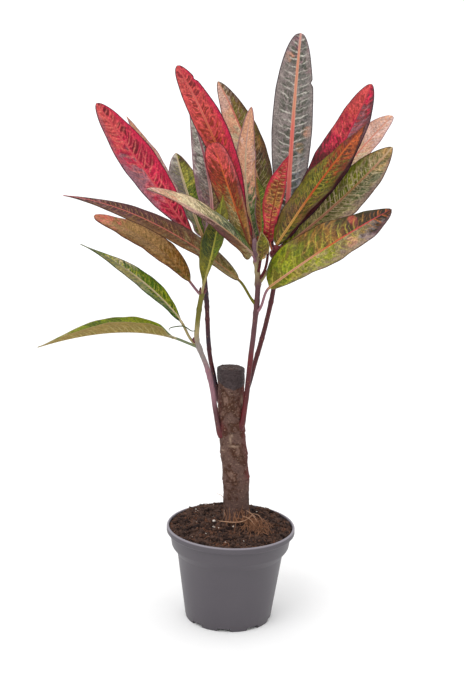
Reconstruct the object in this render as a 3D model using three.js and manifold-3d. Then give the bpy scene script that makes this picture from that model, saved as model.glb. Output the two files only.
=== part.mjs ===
// A croton in a grower's pot: a sawn-off trunk that has shot again from its sides, with four
// young stems and long, gently waved leaves. Millimetres, +Z up. The origin is the middle of
// the pot's base, on the surface that it stands on. +X is to the right and -Y to the front.
import * as THREE from "three";
import { mergeVertices } from "three/addons/utils/BufferGeometryUtils.js";
import Module from "manifold-3d";

const wasm = await Module();
wasm.setup();

// ---------------------------------------------------------------- driving sizes

const SEAT_GAP = 0.3; // between two pieces that touch

const POT_HEIGHT = 90;
const POT_RIM_RADIUS = 60;
const POT_LIP_HEIGHT = 6.5;
const POT_COLLAR_RADIUS = 57;
const POT_COLLAR_FOOT_RADIUS = 55;
const POT_COLLAR_FOOT_HEIGHT = 71;
const POT_BODY_RADIUS = 49.5;
const POT_BODY_HEIGHT = 64;
const POT_BASE_RADIUS = 40.4;
const POT_WALL = 1.5;
const POT_LIP_INNER_RADIUS = 57.8;
const POT_SIDES = 40;
const DRAIN_COUNT = 9;
const DRAIN_FIRST_ANGLE = -95; // degrees from +X, so -90 is the front
const DRAIN_WIDTH = 12;
const DRAIN_HEIGHT = 3;
const DRAIN_DEPTH = 9;

const SOIL_LEVEL = 87.5; // where the soil meets the wall of the pot
const SOIL_MOUND = 3.5; // how far it rises to the trunk
const SOIL_CLOD = 1.3; // how rough it is

const TRUNK_RADIUS = 12.5;
const TRUNK_FOOT_HEIGHT = 45; // its lower end, deep in the soil
const TRUNK_TOP_HEIGHT = 242;
const TRUNK_SIDES = 20;
const TRUNK_STEP = 7; // between two of its cross-sections, where it shows
const TRUNK_CHAMFER = 1.2; // round the sawn top
// Where the middle of the trunk is, from the foot to the sawn top.
const TRUNK_MIDDLE = [
  [4.6, 0, TRUNK_FOOT_HEIGHT],
  [4.6, 0, 106],
  [3.2, -1, 138],
  [0.4, -2, 164],
  [-2.6, -1, 195],
  [-4.8, 0, TRUNK_TOP_HEIGHT],
];
// Old leaf scars ring the bark: the height, how far each stands out, and how tall it is.
const TRUNK_RINGS = [
  { height: 137, bulge: 0.7, spread: 5 },
  { height: 161, bulge: 0.9, spread: 5 },
  { height: 184, bulge: 0.5, spread: 4 },
  { height: 199, bulge: 0.4, spread: 4 },
  { height: 240, bulge: 0.3, spread: 5 },
];

const STEM_SIDES = 8;
const STEM_STEPS = 17;
const BUD_START = 0.985; // the part of a stem where its bud begins
const BUD_TIP = 0.55; // the radius of its tip, of the radius of the stem
const PETIOLE_RADIUS = 1.25;
const PETIOLE_STEPS = 4;
const PETIOLE_LEAVING = 0.24; // how far the stalk keeps square to its stem, of its length
const PETIOLE_ARRIVING = 0.4; // how far it keeps to the line of the midrib, of its length
const BLADE_STEPS = 12;
const BLADE_THICKNESS = 0.8;
const TIP_HALF_WIDTH = 0.5;
const MIDRIB_DEPTH = 0.5; // how far the midrib stands out below the blade, at its base

const POT_COLOUR = 0x605b60;
const SOIL_COLOUR = 0x412d26;
const BARK_COLOUR = 0x5f4e44;

// ---------------------------------------------------------------- the four stems

// Each stem leaves the trunk at a height and a bearing (degrees from +X, so -90 is the front),
// and passes through its points up to the bud at its top.
const STEMS = [
  {
    name: "stem_left_pale",
    colour: 0x8a6a52,
    radius: 2.3,
    bearing: 205,
    foot: 184,
    points: [
      [-17.8, -7.8, 205],
      [-20.4, -11, 222],
      [-26, -16, 245],
      [-32, -20, 261],
      [-35.5, -22, 271],
      [-35.3, -25, 287],
      [-34, -28, 301],
      [-32.2, -30, 313],
      [-31, -31, 319],
    ],
  },
  {
    name: "stem_left_dark",
    colour: 0x4b232d,
    radius: 2.1,
    bearing: 160,
    foot: 214,
    points: [
      [-20, 4, 233],
      [-24, -1, 253],
      [-26, -4, 272],
      [-28, -6, 303],
      [-31, -4, 330],
      [-33, -2, 350],
    ],
  },
  {
    name: "stem_right_front",
    colour: 0x693741,
    radius: 2.4,
    bearing: -40,
    foot: 192,
    points: [
      [9.4, -9.6, 207],
      [11.2, -11, 228],
      [12.6, -12, 250],
      [15.8, -12, 289],
      [17.2, -12, 320],
      [15.6, -12, 340],
      [14.2, -12, 353],
    ],
  },
  {
    name: "stem_right_back",
    colour: 0x4f2630,
    radius: 2.2,
    bearing: 30,
    foot: 206,
    points: [
      [12.4, 8, 224],
      [18, 10, 247],
      [23.8, 12, 270],
      [30, 14, 300],
      [34, 14, 330],
      [35.6, 13, 352],
    ],
  },
];

// ---------------------------------------------------------------- the leaves

// A leaf grows from a stem at a part of the stem's length. Its midrib runs from base through
// mid to tip. face is the way that its upper side looks, fold is how far each half stands up
// from flat, and twist is how far the blade turns from base to tip, all in degrees. widest is
// where it is widest, and a taper over 1 draws that end in. foot is how wide the blade starts,
// as a part of its full width. skew makes the right half wider than the left one, and lean more
// so at the base than at the tip. wave and curl bend its margin.
const PLAIN_LEAF = {
  face: [0, -1, 0.4],
  fold: 14,
  twist: 0,
  widest: 0.5,
  baseTaper: 1.25,
  tipTaper: 0.95,
  skew: 0,
  lean: 0,
  foot: 0.15,
  wave: 1.2,
  waves: 3,
  curl: 0.1,
};

const LEAVES = [
  {
    name: "leaf_left_lowest",
    colour: 0x7a7a30,
    stem: "stem_left_pale",
    at: 0.615,
    base: [-56, -24, 273.5],
    mid: [-110, -34, 279],
    tip: [-174, -45, 266],
    width: 33,
    face: [0, -0.05, 1],
    fold: 57,
    widest: 0.42,
    tipTaper: 1.2,
    baseTaper: 0.45,
    wave: 0.4,
    foot: 0.3,
  },
  {
    name: "leaf_left_low",
    colour: 0x55701c,
    stem: "stem_left_pale",
    at: 0.63,
    base: [-50.5, -23, 289],
    mid: [-90, -18, 325.6],
    tip: [-141, -12, 353],
    width: 22,
    face: [0.45, -0.6, 0.7],
    fold: 20,
    widest: 0.36,
    tipTaper: 1.6,
    twist: -25,
    baseTaper: 0.6,
    wave: 0.4,
  },
  {
    name: "leaf_left_tan",
    colour: 0xa08050,
    stem: "stem_left_dark",
    at: 0.68,
    base: [-44, -2, 321],
    mid: [-82, -5, 356.5],
    tip: [-129, -14, 378.5],
    width: 26,
    face: [0.35, -0.65, 0.7],
    widest: 0.45,
    tipTaper: 0.4,
    twist: 15,
    baseTaper: 0.55,
    wave: 0.6,
    lean: 0.3,
  },
  {
    name: "leaf_left_brown",
    colour: 0x6a4c40,
    stem: "stem_right_front",
    at: 0.7,
    base: [-0.5, -14, 326],
    mid: [-79, -25, 376.5],
    tip: [-153, -37, 398.5],
    width: 25,
    widest: 0.32,
    face: [0.25, -0.6, 0.8],
    tipTaper: 1.2,
    twist: -12,
    baseTaper: 0.36,
    wave: 0.5,
    lean: 0.35,
  },
  {
    name: "leaf_pale_stem_front",
    colour: 0x5c6a14,
    stem: "stem_left_pale",
    at: 0.985,
    base: [-30.8, -34.5, 322.5],
    mid: [-22.5, -30, 359],
    tip: [-16, -18, 401],
    width: 20,
    face: [-0.3, -0.9, 0.1],
    widest: 0.62,
    baseTaper: 1.1,
    tipTaper: 1.2,
    skew: -0.25,
    lean: -0.7,
  },
  {
    name: "leaf_grey_front",
    colour: 0x787d69,
    stem: "stem_right_front",
    at: 0.93,
    base: [11, -20, 350],
    mid: [-29, -42, 384],
    tip: [-80, -52, 408],
    width: 25,
    face: [0.35, -0.5, 0.8],
    fold: 22,
    tipTaper: 0.5,
    baseTaper: 0.3,
    wave: 0.5,
    twist: 48,
    lean: -0.45,
    foot: 0.3,
  },
  {
    name: "leaf_red_left",
    colour: 0xc03246,
    stem: "stem_left_dark",
    at: 0.84,
    base: [-38, -6, 357],
    mid: [-81, -4, 412],
    tip: [-128, -10, 476],
    width: 35,
    widest: 0.58,
    face: [0.45, -0.85, 0.3],
    tipTaper: 0.55,
    skew: 0.02,
    wave: 0.8,
  },
  {
    name: "leaf_peach_left",
    colour: 0xd09a78,
    stem: "stem_left_dark",
    at: 0.93,
    base: [-40, 3, 359],
    mid: [-73, 16, 414],
    tip: [-104, 18, 464],
    width: 18,
    face: [0.5, -0.8, 0.3],
  },
  {
    name: "leaf_green_spear",
    colour: 0x6f8440,
    stem: "stem_left_dark",
    at: 0.96,
    base: [-34, 9, 360],
    mid: [-50, 36, 397],
    tip: [-62, 66, 429],
    width: 30,
    face: [0.15, -0.8, 0.6],
    tipTaper: 0.7,
    foot: 0.35,
  },
  {
    name: "leaf_grey_inner",
    colour: 0x8a8a82,
    stem: "stem_left_dark",
    at: 0.985,
    base: [-27, 2, 359],
    mid: [-29.5, 24, 409],
    tip: [-50, 46, 473],
    width: 27,
    face: [0.1, -0.95, 0.2],
    foot: 0.4,
  },
  {
    name: "leaf_red_centre",
    colour: 0xc8463f,
    stem: "stem_right_front",
    at: 0.96,
    base: [9.5, -7, 358],
    mid: [-22.5, -2, 441],
    tip: [-59, -8, 510],
    width: 27,
    widest: 0.6,
    face: [0.25, -0.95, 0.2],
    tipTaper: 0.5,
    twist: -14,
    baseTaper: 1.2,
    skew: 0.2,
    lean: 0.25,
    foot: 0.15,
  },
  {
    name: "leaf_rust_front",
    colour: 0x8a3c2c,
    stem: "stem_right_front",
    at: 0.97,
    base: [9.5, -14.5, 354],
    mid: [-11, -15, 406],
    tip: [-26, -20, 446],
    width: 25,
    face: [-0.1, -0.98, 0.2],
    widest: 0.62,
    baseTaper: 0.65,
    tipTaper: 0.28,
    foot: 0.15,
    skew: -0.08,
  },
  {
    name: "leaf_dark_back",
    colour: 0x3c3a34,
    stem: "stem_right_back",
    at: 0.95,
    base: [28, 20, 360],
    mid: [7, 36, 432],
    tip: [-24.5, 50, 496],
    width: 33,
    face: [0.2, -0.95, 0.3],
    tipTaper: 0.65,
    foot: 0.15,
  },
  {
    name: "leaf_peach_narrow",
    colour: 0xb09a70,
    stem: "stem_right_front",
    at: 0.98,
    base: [14.5, -1, 356],
    mid: [3, 9, 414],
    tip: [6.5, 16, 476],
    width: 20,
    face: [0.3, -0.9, 0.2],
    tipTaper: 0.6,
    foot: 0.15,
  },
  {
    name: "leaf_olive_small",
    colour: 0x6a6a2c,
    stem: "stem_right_front",
    at: 0.94,
    base: [19, -3, 355],
    mid: [17, 18, 388],
    tip: [12, 30, 414],
    width: 19,
    face: [0.3, -0.7, 0.7],
    foot: 0.15,
  },
  {
    name: "leaf_crimson_small",
    colour: 0xb8323c,
    stem: "stem_right_front",
    at: 0.84,
    base: [25, -15, 359],
    mid: [28.5, -38, 402],
    tip: [38, -66, 441],
    width: 17.5,
    face: [0, -0.8, -0.2],
    skew: -0.15,
    foot: 0.2,
  },
  {
    name: "leaf_grey_tall",
    colour: 0x86807c,
    stem: "stem_right_back",
    at: 0.985,
    base: [42.5, 31, 360],
    mid: [44.5, 44, 454],
    tip: [49, 56, 541],
    width: 38,
    widest: 0.54,
    face: [0, -1, 0.2],
    tipTaper: 0.46,
    skew: -0.03,
    twist: 10,
    baseTaper: 0.6,
    lean: 0.08,
    foot: 0.15,
  },
  {
    name: "leaf_red_right",
    colour: 0xc43a44,
    stem: "stem_right_back",
    at: 0.976,
    base: [34, 4, 358],
    mid: [81, 16, 430.5],
    tip: [111, 10, 499],
    width: 37,
    face: [-0.4, -0.8, 0.3],
    tipTaper: 0.52,
    baseTaper: 0.8,
    widest: 0.5,
    foot: 0.15,
  },
  {
    name: "leaf_olive_right",
    colour: 0x585214,
    stem: "stem_right_back",
    at: 0.954,
    base: [33, -4, 356],
    mid: [69, -1, 413],
    tip: [106, -8, 465],
    width: 30,
    face: [-0.5, -0.75, 0.4],
    baseTaper: 0.5,
    lean: -0.5,
    foot: 0.3,
  },
  {
    name: "leaf_gold_right",
    colour: 0x6a7822,
    stem: "stem_right_front",
    at: 0.815,
    base: [38, 0, 352],
    mid: [91, 16, 397.5],
    tip: [132, 8, 445],
    width: 39,
    face: [-0.35, -0.9, 0.4],
    tipTaper: 0.65,
    twist: 12,
    foot: 0.2,
  },
  {
    name: "leaf_pink_right",
    colour: 0xd0b29a,
    stem: "stem_right_back",
    at: 0.935,
    base: [45, 20, 358],
    mid: [91, 50, 417],
    tip: [139, 80, 468.5],
    width: 33,
    face: [-0.4, -0.8, 0.4],
    tipTaper: 0.45,
    twist: -12,
    skew: -0.2,
  },
  {
    name: "leaf_green_lower_right",
    colour: 0x7a7418,
    stem: "stem_right_front",
    at: 0.66,
    base: [27.5, -18, 320.5],
    mid: [78, -34, 362],
    tip: [128, -46, 396.5],
    width: 42,
    widest: 0.46,
    face: [-0.3, -0.75, 0.55],
    baseTaper: 0.35,
    tipTaper: 0.55,
    skew: -0.08,
    twist: -16,
    lean: -0.48,
  },
  {
    name: "leaf_crown_small",
    colour: 0x6e6928,
    stem: "stem_right_front",
    at: 0.88,
    base: [19, -19, 346],
    mid: [20, -24, 357],
    tip: [18, -28, 372],
    width: 12.5,
    face: [0.2, -1, 0.2],
    foot: 0.3,
  },
  {
    name: "leaf_back_left",
    colour: 0x6c5a34,
    stem: "stem_left_dark",
    at: 0.9,
    base: [-28, 12, 346],
    mid: [-26, 62, 372],
    tip: [-30, 112, 366],
    width: 28,
    face: [0, -0.3, 0.9],
  },
  {
    name: "leaf_back_middle",
    colour: 0x8a3a34,
    stem: "stem_right_back",
    at: 0.9,
    base: [30, 24, 346],
    mid: [20, 72, 386],
    tip: [8, 126, 396],
    width: 32,
    face: [0, -0.5, 0.9],
    twist: 20,
  },
  {
    name: "leaf_back_right",
    colour: 0x5f6a22,
    stem: "stem_right_back",
    at: 0.85,
    base: [42, 26, 340],
    mid: [62, 70, 372],
    tip: [86, 118, 382],
    width: 30,
    face: [-0.2, -0.4, 0.9],
  },
];

// ---------------------------------------------------------------- shared geometry

const vec = (point) => new THREE.Vector3(...point);

const radians = (degrees) => (degrees * Math.PI) / 180;

// A direction in the level plane, from a bearing in degrees.
function level(bearing) {
  return new THREE.Vector3(Math.cos(radians(bearing)), Math.sin(radians(bearing)), 0);
}

// A geometry from a list of corners and a list of corner numbers, three to a face.
function facetedGeometry(corners, faces) {
  const geometry = new THREE.BufferGeometry();
  const positions = corners.flatMap((corner) => corner.toArray());
  geometry.setAttribute("position", new THREE.Float32BufferAttribute(positions, 3));
  geometry.setIndex(faces);
  geometry.computeVertexNormals();
  return geometry;
}

// A closed tube through rings of corners, all with the same number of corners and each
// running anticlockwise as seen from the far end.
function ringGeometry(rings) {
  const sides = rings[0].length;
  const corners = rings.flat();
  const faces = [];
  for (let ring = 0; ring + 1 < rings.length; ring += 1) {
    for (let side = 0; side < sides; side += 1) {
      const a = ring * sides + side;
      const b = ring * sides + ((side + 1) % sides);
      faces.push(a, b, b + sides, a, b + sides, a + sides);
    }
  }
  const last = (rings.length - 1) * sides;
  for (let side = 1; side + 1 < sides; side += 1) {
    faces.push(0, side + 1, side);
    faces.push(last, last + side, last + side + 1);
  }
  return facetedGeometry(corners, faces);
}

// A closed thin body between an upper and a lower grid of corners. Both are split into
// triangles along the same diagonals, so that they never cross.
function sheetGeometry(upper, lower) {
  const rows = upper.length;
  const columns = upper[0].length;
  const corners = [...upper.flat(), ...lower.flat()];
  const above = (row, column) => row * columns + column;
  const below = (row, column) => rows * columns + above(row, column);
  const faces = [];
  for (let row = 0; row + 1 < rows; row += 1) {
    for (let column = 0; column + 1 < columns; column += 1) {
      for (const [corner, flip] of [[above, false], [below, true]]) {
        const a = corner(row, column);
        const b = corner(row, column + 1);
        const c = corner(row + 1, column + 1);
        const d = corner(row + 1, column);
        faces.push(...(flip ? [a, c, b, a, d, c] : [a, b, c, a, c, d]));
      }
    }
    for (const [column, flip] of [[columns - 1, false], [0, true]]) {
      const a = above(row, column);
      const b = below(row, column);
      const c = below(row + 1, column);
      const d = above(row + 1, column);
      faces.push(...(flip ? [a, c, b, a, d, c] : [a, b, c, a, c, d]));
    }
  }
  for (const [row, flip] of [[rows - 1, false], [0, true]]) {
    for (let column = 0; column + 1 < columns; column += 1) {
      const a = above(row, column);
      const b = above(row, column + 1);
      const c = below(row, column + 1);
      const d = below(row, column);
      faces.push(...(flip ? [a, c, b, a, d, c] : [a, b, c, a, c, d]));
    }
  }
  return facetedGeometry(corners, faces);
}

// The solid of a closed geometry, for cutting and joining.
function toSolid(geometry) {
  const bare = geometry.clone();
  bare.deleteAttribute("normal");
  bare.deleteAttribute("uv");
  const merged = mergeVertices(bare, 1e-3);
  return new wasm.Manifold(
    new wasm.Mesh({
      numProp: 3,
      vertProperties: new Float32Array(merged.attributes.position.array),
      triVerts: new Uint32Array(merged.index.array),
    }),
  );
}

function fromSolid(solid) {
  const mesh = solid.getMesh();
  const geometry = new THREE.BufferGeometry();
  geometry.setAttribute("position", new THREE.BufferAttribute(mesh.vertProperties, 3));
  geometry.setIndex(new THREE.BufferAttribute(mesh.triVerts, 1));
  geometry.computeVertexNormals();
  return geometry;
}

function named(name, geometry, colour, roughness) {
  const material = new THREE.MeshStandardMaterial({ color: colour, roughness, metalness: 0 });
  const mesh = new THREE.Mesh(geometry, material);
  mesh.name = name;
  return mesh;
}

// A turned shape about +Z, from [radius, height] pairs that start and end on the axis.
function turned(profile, sides) {
  const points = profile.map(([radius, height]) => new THREE.Vector2(radius, height));
  const geometry = new THREE.LatheGeometry(points, sides);
  geometry.rotateX(Math.PI / 2);
  return geometry;
}

// ---------------------------------------------------------------- pot and soil

// The inside radius of the pot's tapered body at a height.
function potInnerRadius(height) {
  const slope = (POT_BODY_RADIUS - POT_BASE_RADIUS) / POT_BODY_HEIGHT;
  return POT_BASE_RADIUS + slope * height - POT_WALL;
}

function makePot() {
  const lipFoot = POT_HEIGHT - POT_LIP_HEIGHT;
  const profile = [
    [0, 0],
    [POT_BASE_RADIUS, 0],
    [POT_BODY_RADIUS, POT_BODY_HEIGHT],
    [POT_COLLAR_FOOT_RADIUS, POT_COLLAR_FOOT_HEIGHT],
    [POT_COLLAR_RADIUS, lipFoot],
    [POT_RIM_RADIUS, lipFoot + 1],
    [POT_RIM_RADIUS, POT_HEIGHT - 1],
    [POT_RIM_RADIUS - 1, POT_HEIGHT],
    [POT_LIP_INNER_RADIUS + 0.5, POT_HEIGHT],
    [POT_LIP_INNER_RADIUS, POT_HEIGHT - 1],
    [POT_LIP_INNER_RADIUS, lipFoot + 2],
    [POT_COLLAR_RADIUS - POT_WALL, lipFoot],
    [POT_COLLAR_FOOT_RADIUS - POT_WALL, POT_COLLAR_FOOT_HEIGHT + 1],
    [potInnerRadius(POT_BODY_HEIGHT), POT_BODY_HEIGHT + 1],
    [potInnerRadius(POT_WALL), POT_WALL],
    [0, POT_WALL],
  ];
  let solid = toSolid(turned(profile, POT_SIDES));
  for (let drain = 0; drain < DRAIN_COUNT; drain += 1) {
    const angle = radians(DRAIN_FIRST_ANGLE + (360 / DRAIN_COUNT) * drain);
    const notch = new THREE.BoxGeometry(2 * DRAIN_DEPTH, DRAIN_WIDTH, 2 * DRAIN_HEIGHT);
    notch.translate(POT_BASE_RADIUS, 0, 0);
    notch.rotateZ(angle);
    solid = solid.subtract(toSolid(notch));
  }
  return named("pot", fromSolid(solid), POT_COLOUR, 0.5);
}

// How far the crumbly top of the soil stands above or below its smooth mound.
function clod(x, y) {
  const coarse = Math.sin(x / 5.1 + 1) * Math.cos(y / 6.3 - 0.4);
  const fine = Math.sin((x + y) / 3.4) * Math.cos((x - 2 * y) / 4.7 + 2);
  return SOIL_CLOD * (0.65 * coarse + 0.35 * fine);
}

// The height of the soil's top at a place.
function soilTop(x, y) {
  const wallRadius = POT_COLLAR_FOOT_RADIUS;
  const inward = Math.max(0, 1 - Math.hypot(x, y) / wallRadius);
  const mound = SOIL_MOUND * Math.sin((Math.PI / 2) * Math.min(1, inward * 1.6));
  return SOIL_LEVEL + mound + clod(x, y) * Math.min(1, inward * 6);
}

function makeSoil() {
  const floor = POT_WALL + SEAT_GAP;
  const shoulder = POT_BODY_HEIGHT + 1 + SEAT_GAP;
  const collarFoot = POT_COLLAR_FOOT_RADIUS - POT_WALL - 2 * SEAT_GAP;
  const collarTop = POT_COLLAR_RADIUS - POT_WALL - 1;
  const lipFoot = POT_HEIGHT - POT_LIP_HEIGHT;
  const edge = POT_LIP_INNER_RADIUS - 0.8;
  const profile = [
    [0, floor],
    [potInnerRadius(floor) - 2 * SEAT_GAP, floor],
    [potInnerRadius(POT_BODY_HEIGHT) - 2 * SEAT_GAP, shoulder],
    [collarFoot, POT_COLLAR_FOOT_HEIGHT + 2],
    [collarTop, lipFoot - 0.5],
    [edge, lipFoot + 3],
    [edge, SOIL_LEVEL],
  ];
  for (const part of [0.92, 0.8, 0.68, 0.55, 0.42, 0.28]) {
    profile.push([edge * part, SOIL_LEVEL]);
  }
  profile.push([0, SOIL_LEVEL]);
  const geometry = turned(profile, POT_SIDES);
  const position = geometry.attributes.position;
  for (let i = 0; i < position.count; i += 1) {
    if (position.getZ(i) > SOIL_LEVEL - 0.01) {
      position.setZ(i, soilTop(position.getX(i), position.getY(i)));
    }
  }
  const [footX, footY, footZ] = TRUNK_MIDDLE[0];
  const holeHeight = 80;
  const hole = new THREE.CylinderGeometry(
    TRUNK_RADIUS + SEAT_GAP,
    TRUNK_RADIUS + SEAT_GAP,
    holeHeight,
    TRUNK_SIDES,
  );
  hole.rotateX(Math.PI / 2);
  hole.translate(footX, footY, footZ - SEAT_GAP + holeHeight / 2);
  const solid = toSolid(geometry).subtract(toSolid(hole));
  return named("soil", fromSolid(solid), SOIL_COLOUR, 0.95);
}

// ---------------------------------------------------------------- trunk and stems

// The middle of the trunk at a height.
function trunkMiddle(height) {
  const above = TRUNK_MIDDLE.findIndex(([, , z]) => z >= height);
  const upper = TRUNK_MIDDLE[Math.max(1, above)];
  const lower = TRUNK_MIDDLE[Math.max(1, above) - 1];
  const part = (height - lower[2]) / (upper[2] - lower[2]);
  return vec(lower).lerp(vec(upper), part);
}

// The radius of the trunk at a height and a bearing, with its scars and slight hollows.
function trunkRadius(height, bearing) {
  let radius = TRUNK_RADIUS - 0.5;
  for (const ring of TRUNK_RINGS) {
    radius += ring.bulge * Math.exp(-(((height - ring.height) / ring.spread) ** 2));
  }
  const above = Math.min(1, Math.max(0, (height - SOIL_LEVEL) / 30));
  return radius + above * 0.25 * Math.sin(radians(3 * bearing) + height / 17);
}

function makeTrunk() {
  const heights = [TRUNK_FOOT_HEIGHT, 84, 96, 112, 125];
  for (let height = 132; height < TRUNK_TOP_HEIGHT - 3; height += TRUNK_STEP) {
    heights.push(height);
  }
  heights.push(TRUNK_TOP_HEIGHT - TRUNK_CHAMFER, TRUNK_TOP_HEIGHT);
  const rings = heights.map((height) => {
    const middle = trunkMiddle(height);
    const chamfer = height === TRUNK_TOP_HEIGHT ? TRUNK_CHAMFER : 0;
    return Array.from({ length: TRUNK_SIDES }, (_, side) => {
      const bearing = (360 * side) / TRUNK_SIDES;
      const radius = trunkRadius(height, bearing) - chamfer;
      return level(bearing).multiplyScalar(radius).add(middle);
    });
  });
  return named("trunk", ringGeometry(rings), BARK_COLOUR, 0.9);
}

// The middle line of a stem: square out of the trunk, then up through the stem's points.
function stemCurve(stem) {
  const outward = level(stem.bearing);
  const seat = trunkRadius(stem.foot, stem.bearing) + SEAT_GAP + 0.6 * stem.radius;
  const foot = trunkMiddle(stem.foot).addScaledVector(outward, seat);
  const knee = foot.clone().addScaledVector(outward, stem.radius);
  knee.z += 0.6 * stem.radius;
  const points = [foot, knee, ...stem.points.map(vec)];
  return new THREE.CatmullRomCurve3(points, false, "centripetal");
}

// A round tube along a stem's curve, drawn in over its last stretch as a bud.
function makeStem(stem) {
  const curve = stemCurve(stem);
  const reference = new THREE.Vector3(0, 1, 0);
  const rings = [];
  for (let step = 0; step <= STEM_STEPS; step += 1) {
    const last = step === STEM_STEPS;
    const part = last ? 1 : (step / (STEM_STEPS - 1)) * BUD_START;
    const radius = stem.radius * (last ? BUD_TIP : 1);
    const middle = curve.getPointAt(part);
    const tangent = curve.getTangentAt(part);
    const across = new THREE.Vector3().crossVectors(reference, tangent).normalize();
    const upward = new THREE.Vector3().crossVectors(tangent, across);
    rings.push(
      Array.from({ length: STEM_SIDES }, (_, side) => {
        const turn = (2 * Math.PI * side) / STEM_SIDES;
        return middle
          .clone()
          .addScaledVector(across, Math.cos(turn) * radius)
          .addScaledVector(upward, Math.sin(turn) * radius);
      }),
    );
  }
  return named(stem.name, ringGeometry(rings), stem.colour, 0.6);
}

// ---------------------------------------------------------------- leaves

// A point of the blade's midrib, with along from 0 at its base to 1 at its tip.
function midribCurve(leaf) {
  const base = vec(leaf.base);
  const tip = vec(leaf.tip);
  const chordMiddle = base.clone().lerp(tip, 0.5);
  const control = vec(leaf.mid).multiplyScalar(2).sub(chordMiddle);
  return new THREE.QuadraticBezierCurve3(base, control, tip);
}

// The leaf's stalk: square out of its stem, then round into the line of the midrib.
function petioleCurve(leaf, midrib) {
  const stem = STEMS.find(({ name }) => name === leaf.stem);
  const curve = stemCurve(stem);
  const root = curve.getPointAt(leaf.at);
  const stemway = curve.getTangentAt(leaf.at);
  const base = midrib.getPoint(0);
  const outward = base.clone().sub(root);
  outward.addScaledVector(stemway, -outward.dot(stemway)).normalize();
  const start = root.addScaledVector(outward, stem.radius + SEAT_GAP);
  const reach = start.distanceTo(base);
  const leaving = start.clone().addScaledVector(outward, PETIOLE_LEAVING * reach);
  const arriving = base.clone().addScaledVector(midrib.getTangent(0), -PETIOLE_ARRIVING * reach);
  return new THREE.CubicBezierCurve3(start, leaving, arriving, base);
}

// How full the blade is at a part of its length: 0 at both ends and 1 where it is widest.
function fullness(leaf, along) {
  const beforeWidest = along < leaf.widest;
  const rise = beforeWidest ? along / leaf.widest : (1 - along) / (1 - leaf.widest);
  const taper = beforeWidest ? leaf.baseTaper : leaf.tipTaper;
  const rounded = beforeWidest ? leaf.foot * Math.sqrt(Math.min(1, along * 14)) : 0;
  return Math.max(Math.sin((Math.PI / 2) * rise) ** taper, rounded);
}

// The upper and lower corners of one cross-section of a leaf. open is 0 in the stalk and 1
// in the blade, and across runs from -1 at the left margin to 1 at the right one.
function leafSection(leaf, middle, tangent, along, open) {
  const face = vec(leaf.face);
  face.addScaledVector(tangent, -face.dot(tangent)).normalize();
  face.applyAxisAngle(tangent, radians(leaf.twist) * (along - 0.5));
  const side = new THREE.Vector3().crossVectors(tangent, face);
  const spread = (leaf.width / 2) * fullness(leaf, along);
  const skew = leaf.skew + leaf.lean * (1 - 2 * along);
  const fold = radians(leaf.fold) * open;
  const upper = [];
  const lower = [];
  for (const across of [-1, -0.5, 0, 0.5, 1]) {
    const tipWidth = TIP_HALF_WIDTH + (PETIOLE_RADIUS - TIP_HALF_WIDTH) * (1 - along) ** 3;
    const half = Math.max(tipWidth, spread * (1 + skew * across));
    const reach = half * Math.abs(across);
    const phase = 2 * Math.PI * (leaf.waves * along + 0.3 * Math.sign(across));
    const ripple = leaf.wave * Math.sin(phase) * across ** 2 * fullness(leaf, along);
    const height = reach * Math.sin(fold) + ripple * open - leaf.curl * reach * across ** 2;
    const stalk = PETIOLE_RADIUS * (1 - 0.5 * across ** 2);
    const rib = across === 0 ? MIDRIB_DEPTH * (1 - along) : 0;
    const thick = THREE.MathUtils.lerp(stalk, BLADE_THICKNESS / 2, open);
    const point = middle
      .clone()
      .addScaledVector(side, Math.sign(across) * reach * Math.cos(fold))
      .addScaledVector(face, height);
    upper.push(point.clone().addScaledVector(face, thick));
    lower.push(point.clone().addScaledVector(face, -thick - rib * open));
  }
  return { upper, lower };
}

function makeLeaf(spec) {
  const leaf = { ...PLAIN_LEAF, ...spec };
  const midrib = midribCurve(leaf);
  const petiole = petioleCurve(leaf, midrib);
  const sections = [];
  for (let step = 0; step < PETIOLE_STEPS; step += 1) {
    const part = step / PETIOLE_STEPS;
    sections.push(leafSection(leaf, petiole.getPoint(part), petiole.getTangent(part), 0, 0));
  }
  for (let step = 0; step <= BLADE_STEPS; step += 1) {
    const along = step / BLADE_STEPS;
    const open = Math.min(1, along * 8);
    const middle = midrib.getPoint(along);
    sections.push(leafSection(leaf, middle, midrib.getTangent(along), along, open));
  }
  const upper = sections.map((section) => section.upper);
  const lower = sections.map((section) => section.lower);
  return named(leaf.name, sheetGeometry(upper, lower), leaf.colour, 0.45);
}

// ---------------------------------------------------------------- the whole plant

const croton = new THREE.Group();
croton.add(makePot(), makeSoil(), makeTrunk());
croton.add(...STEMS.map(makeStem));
croton.add(...LEAVES.map(makeLeaf));

export default croton;
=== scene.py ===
"""A croton in a grower's pot, dressed for a studio picture. Metres, +Z up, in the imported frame.

The stems and leaves grow along the same lines as in the part's source. Each stands for its
plain solid and adds what a plant has up close: veins, mottling, a rounded margin and bark."""

import math
import random

import bpy
import numpy as np
from mathutils import Matrix, Vector, noise


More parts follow.
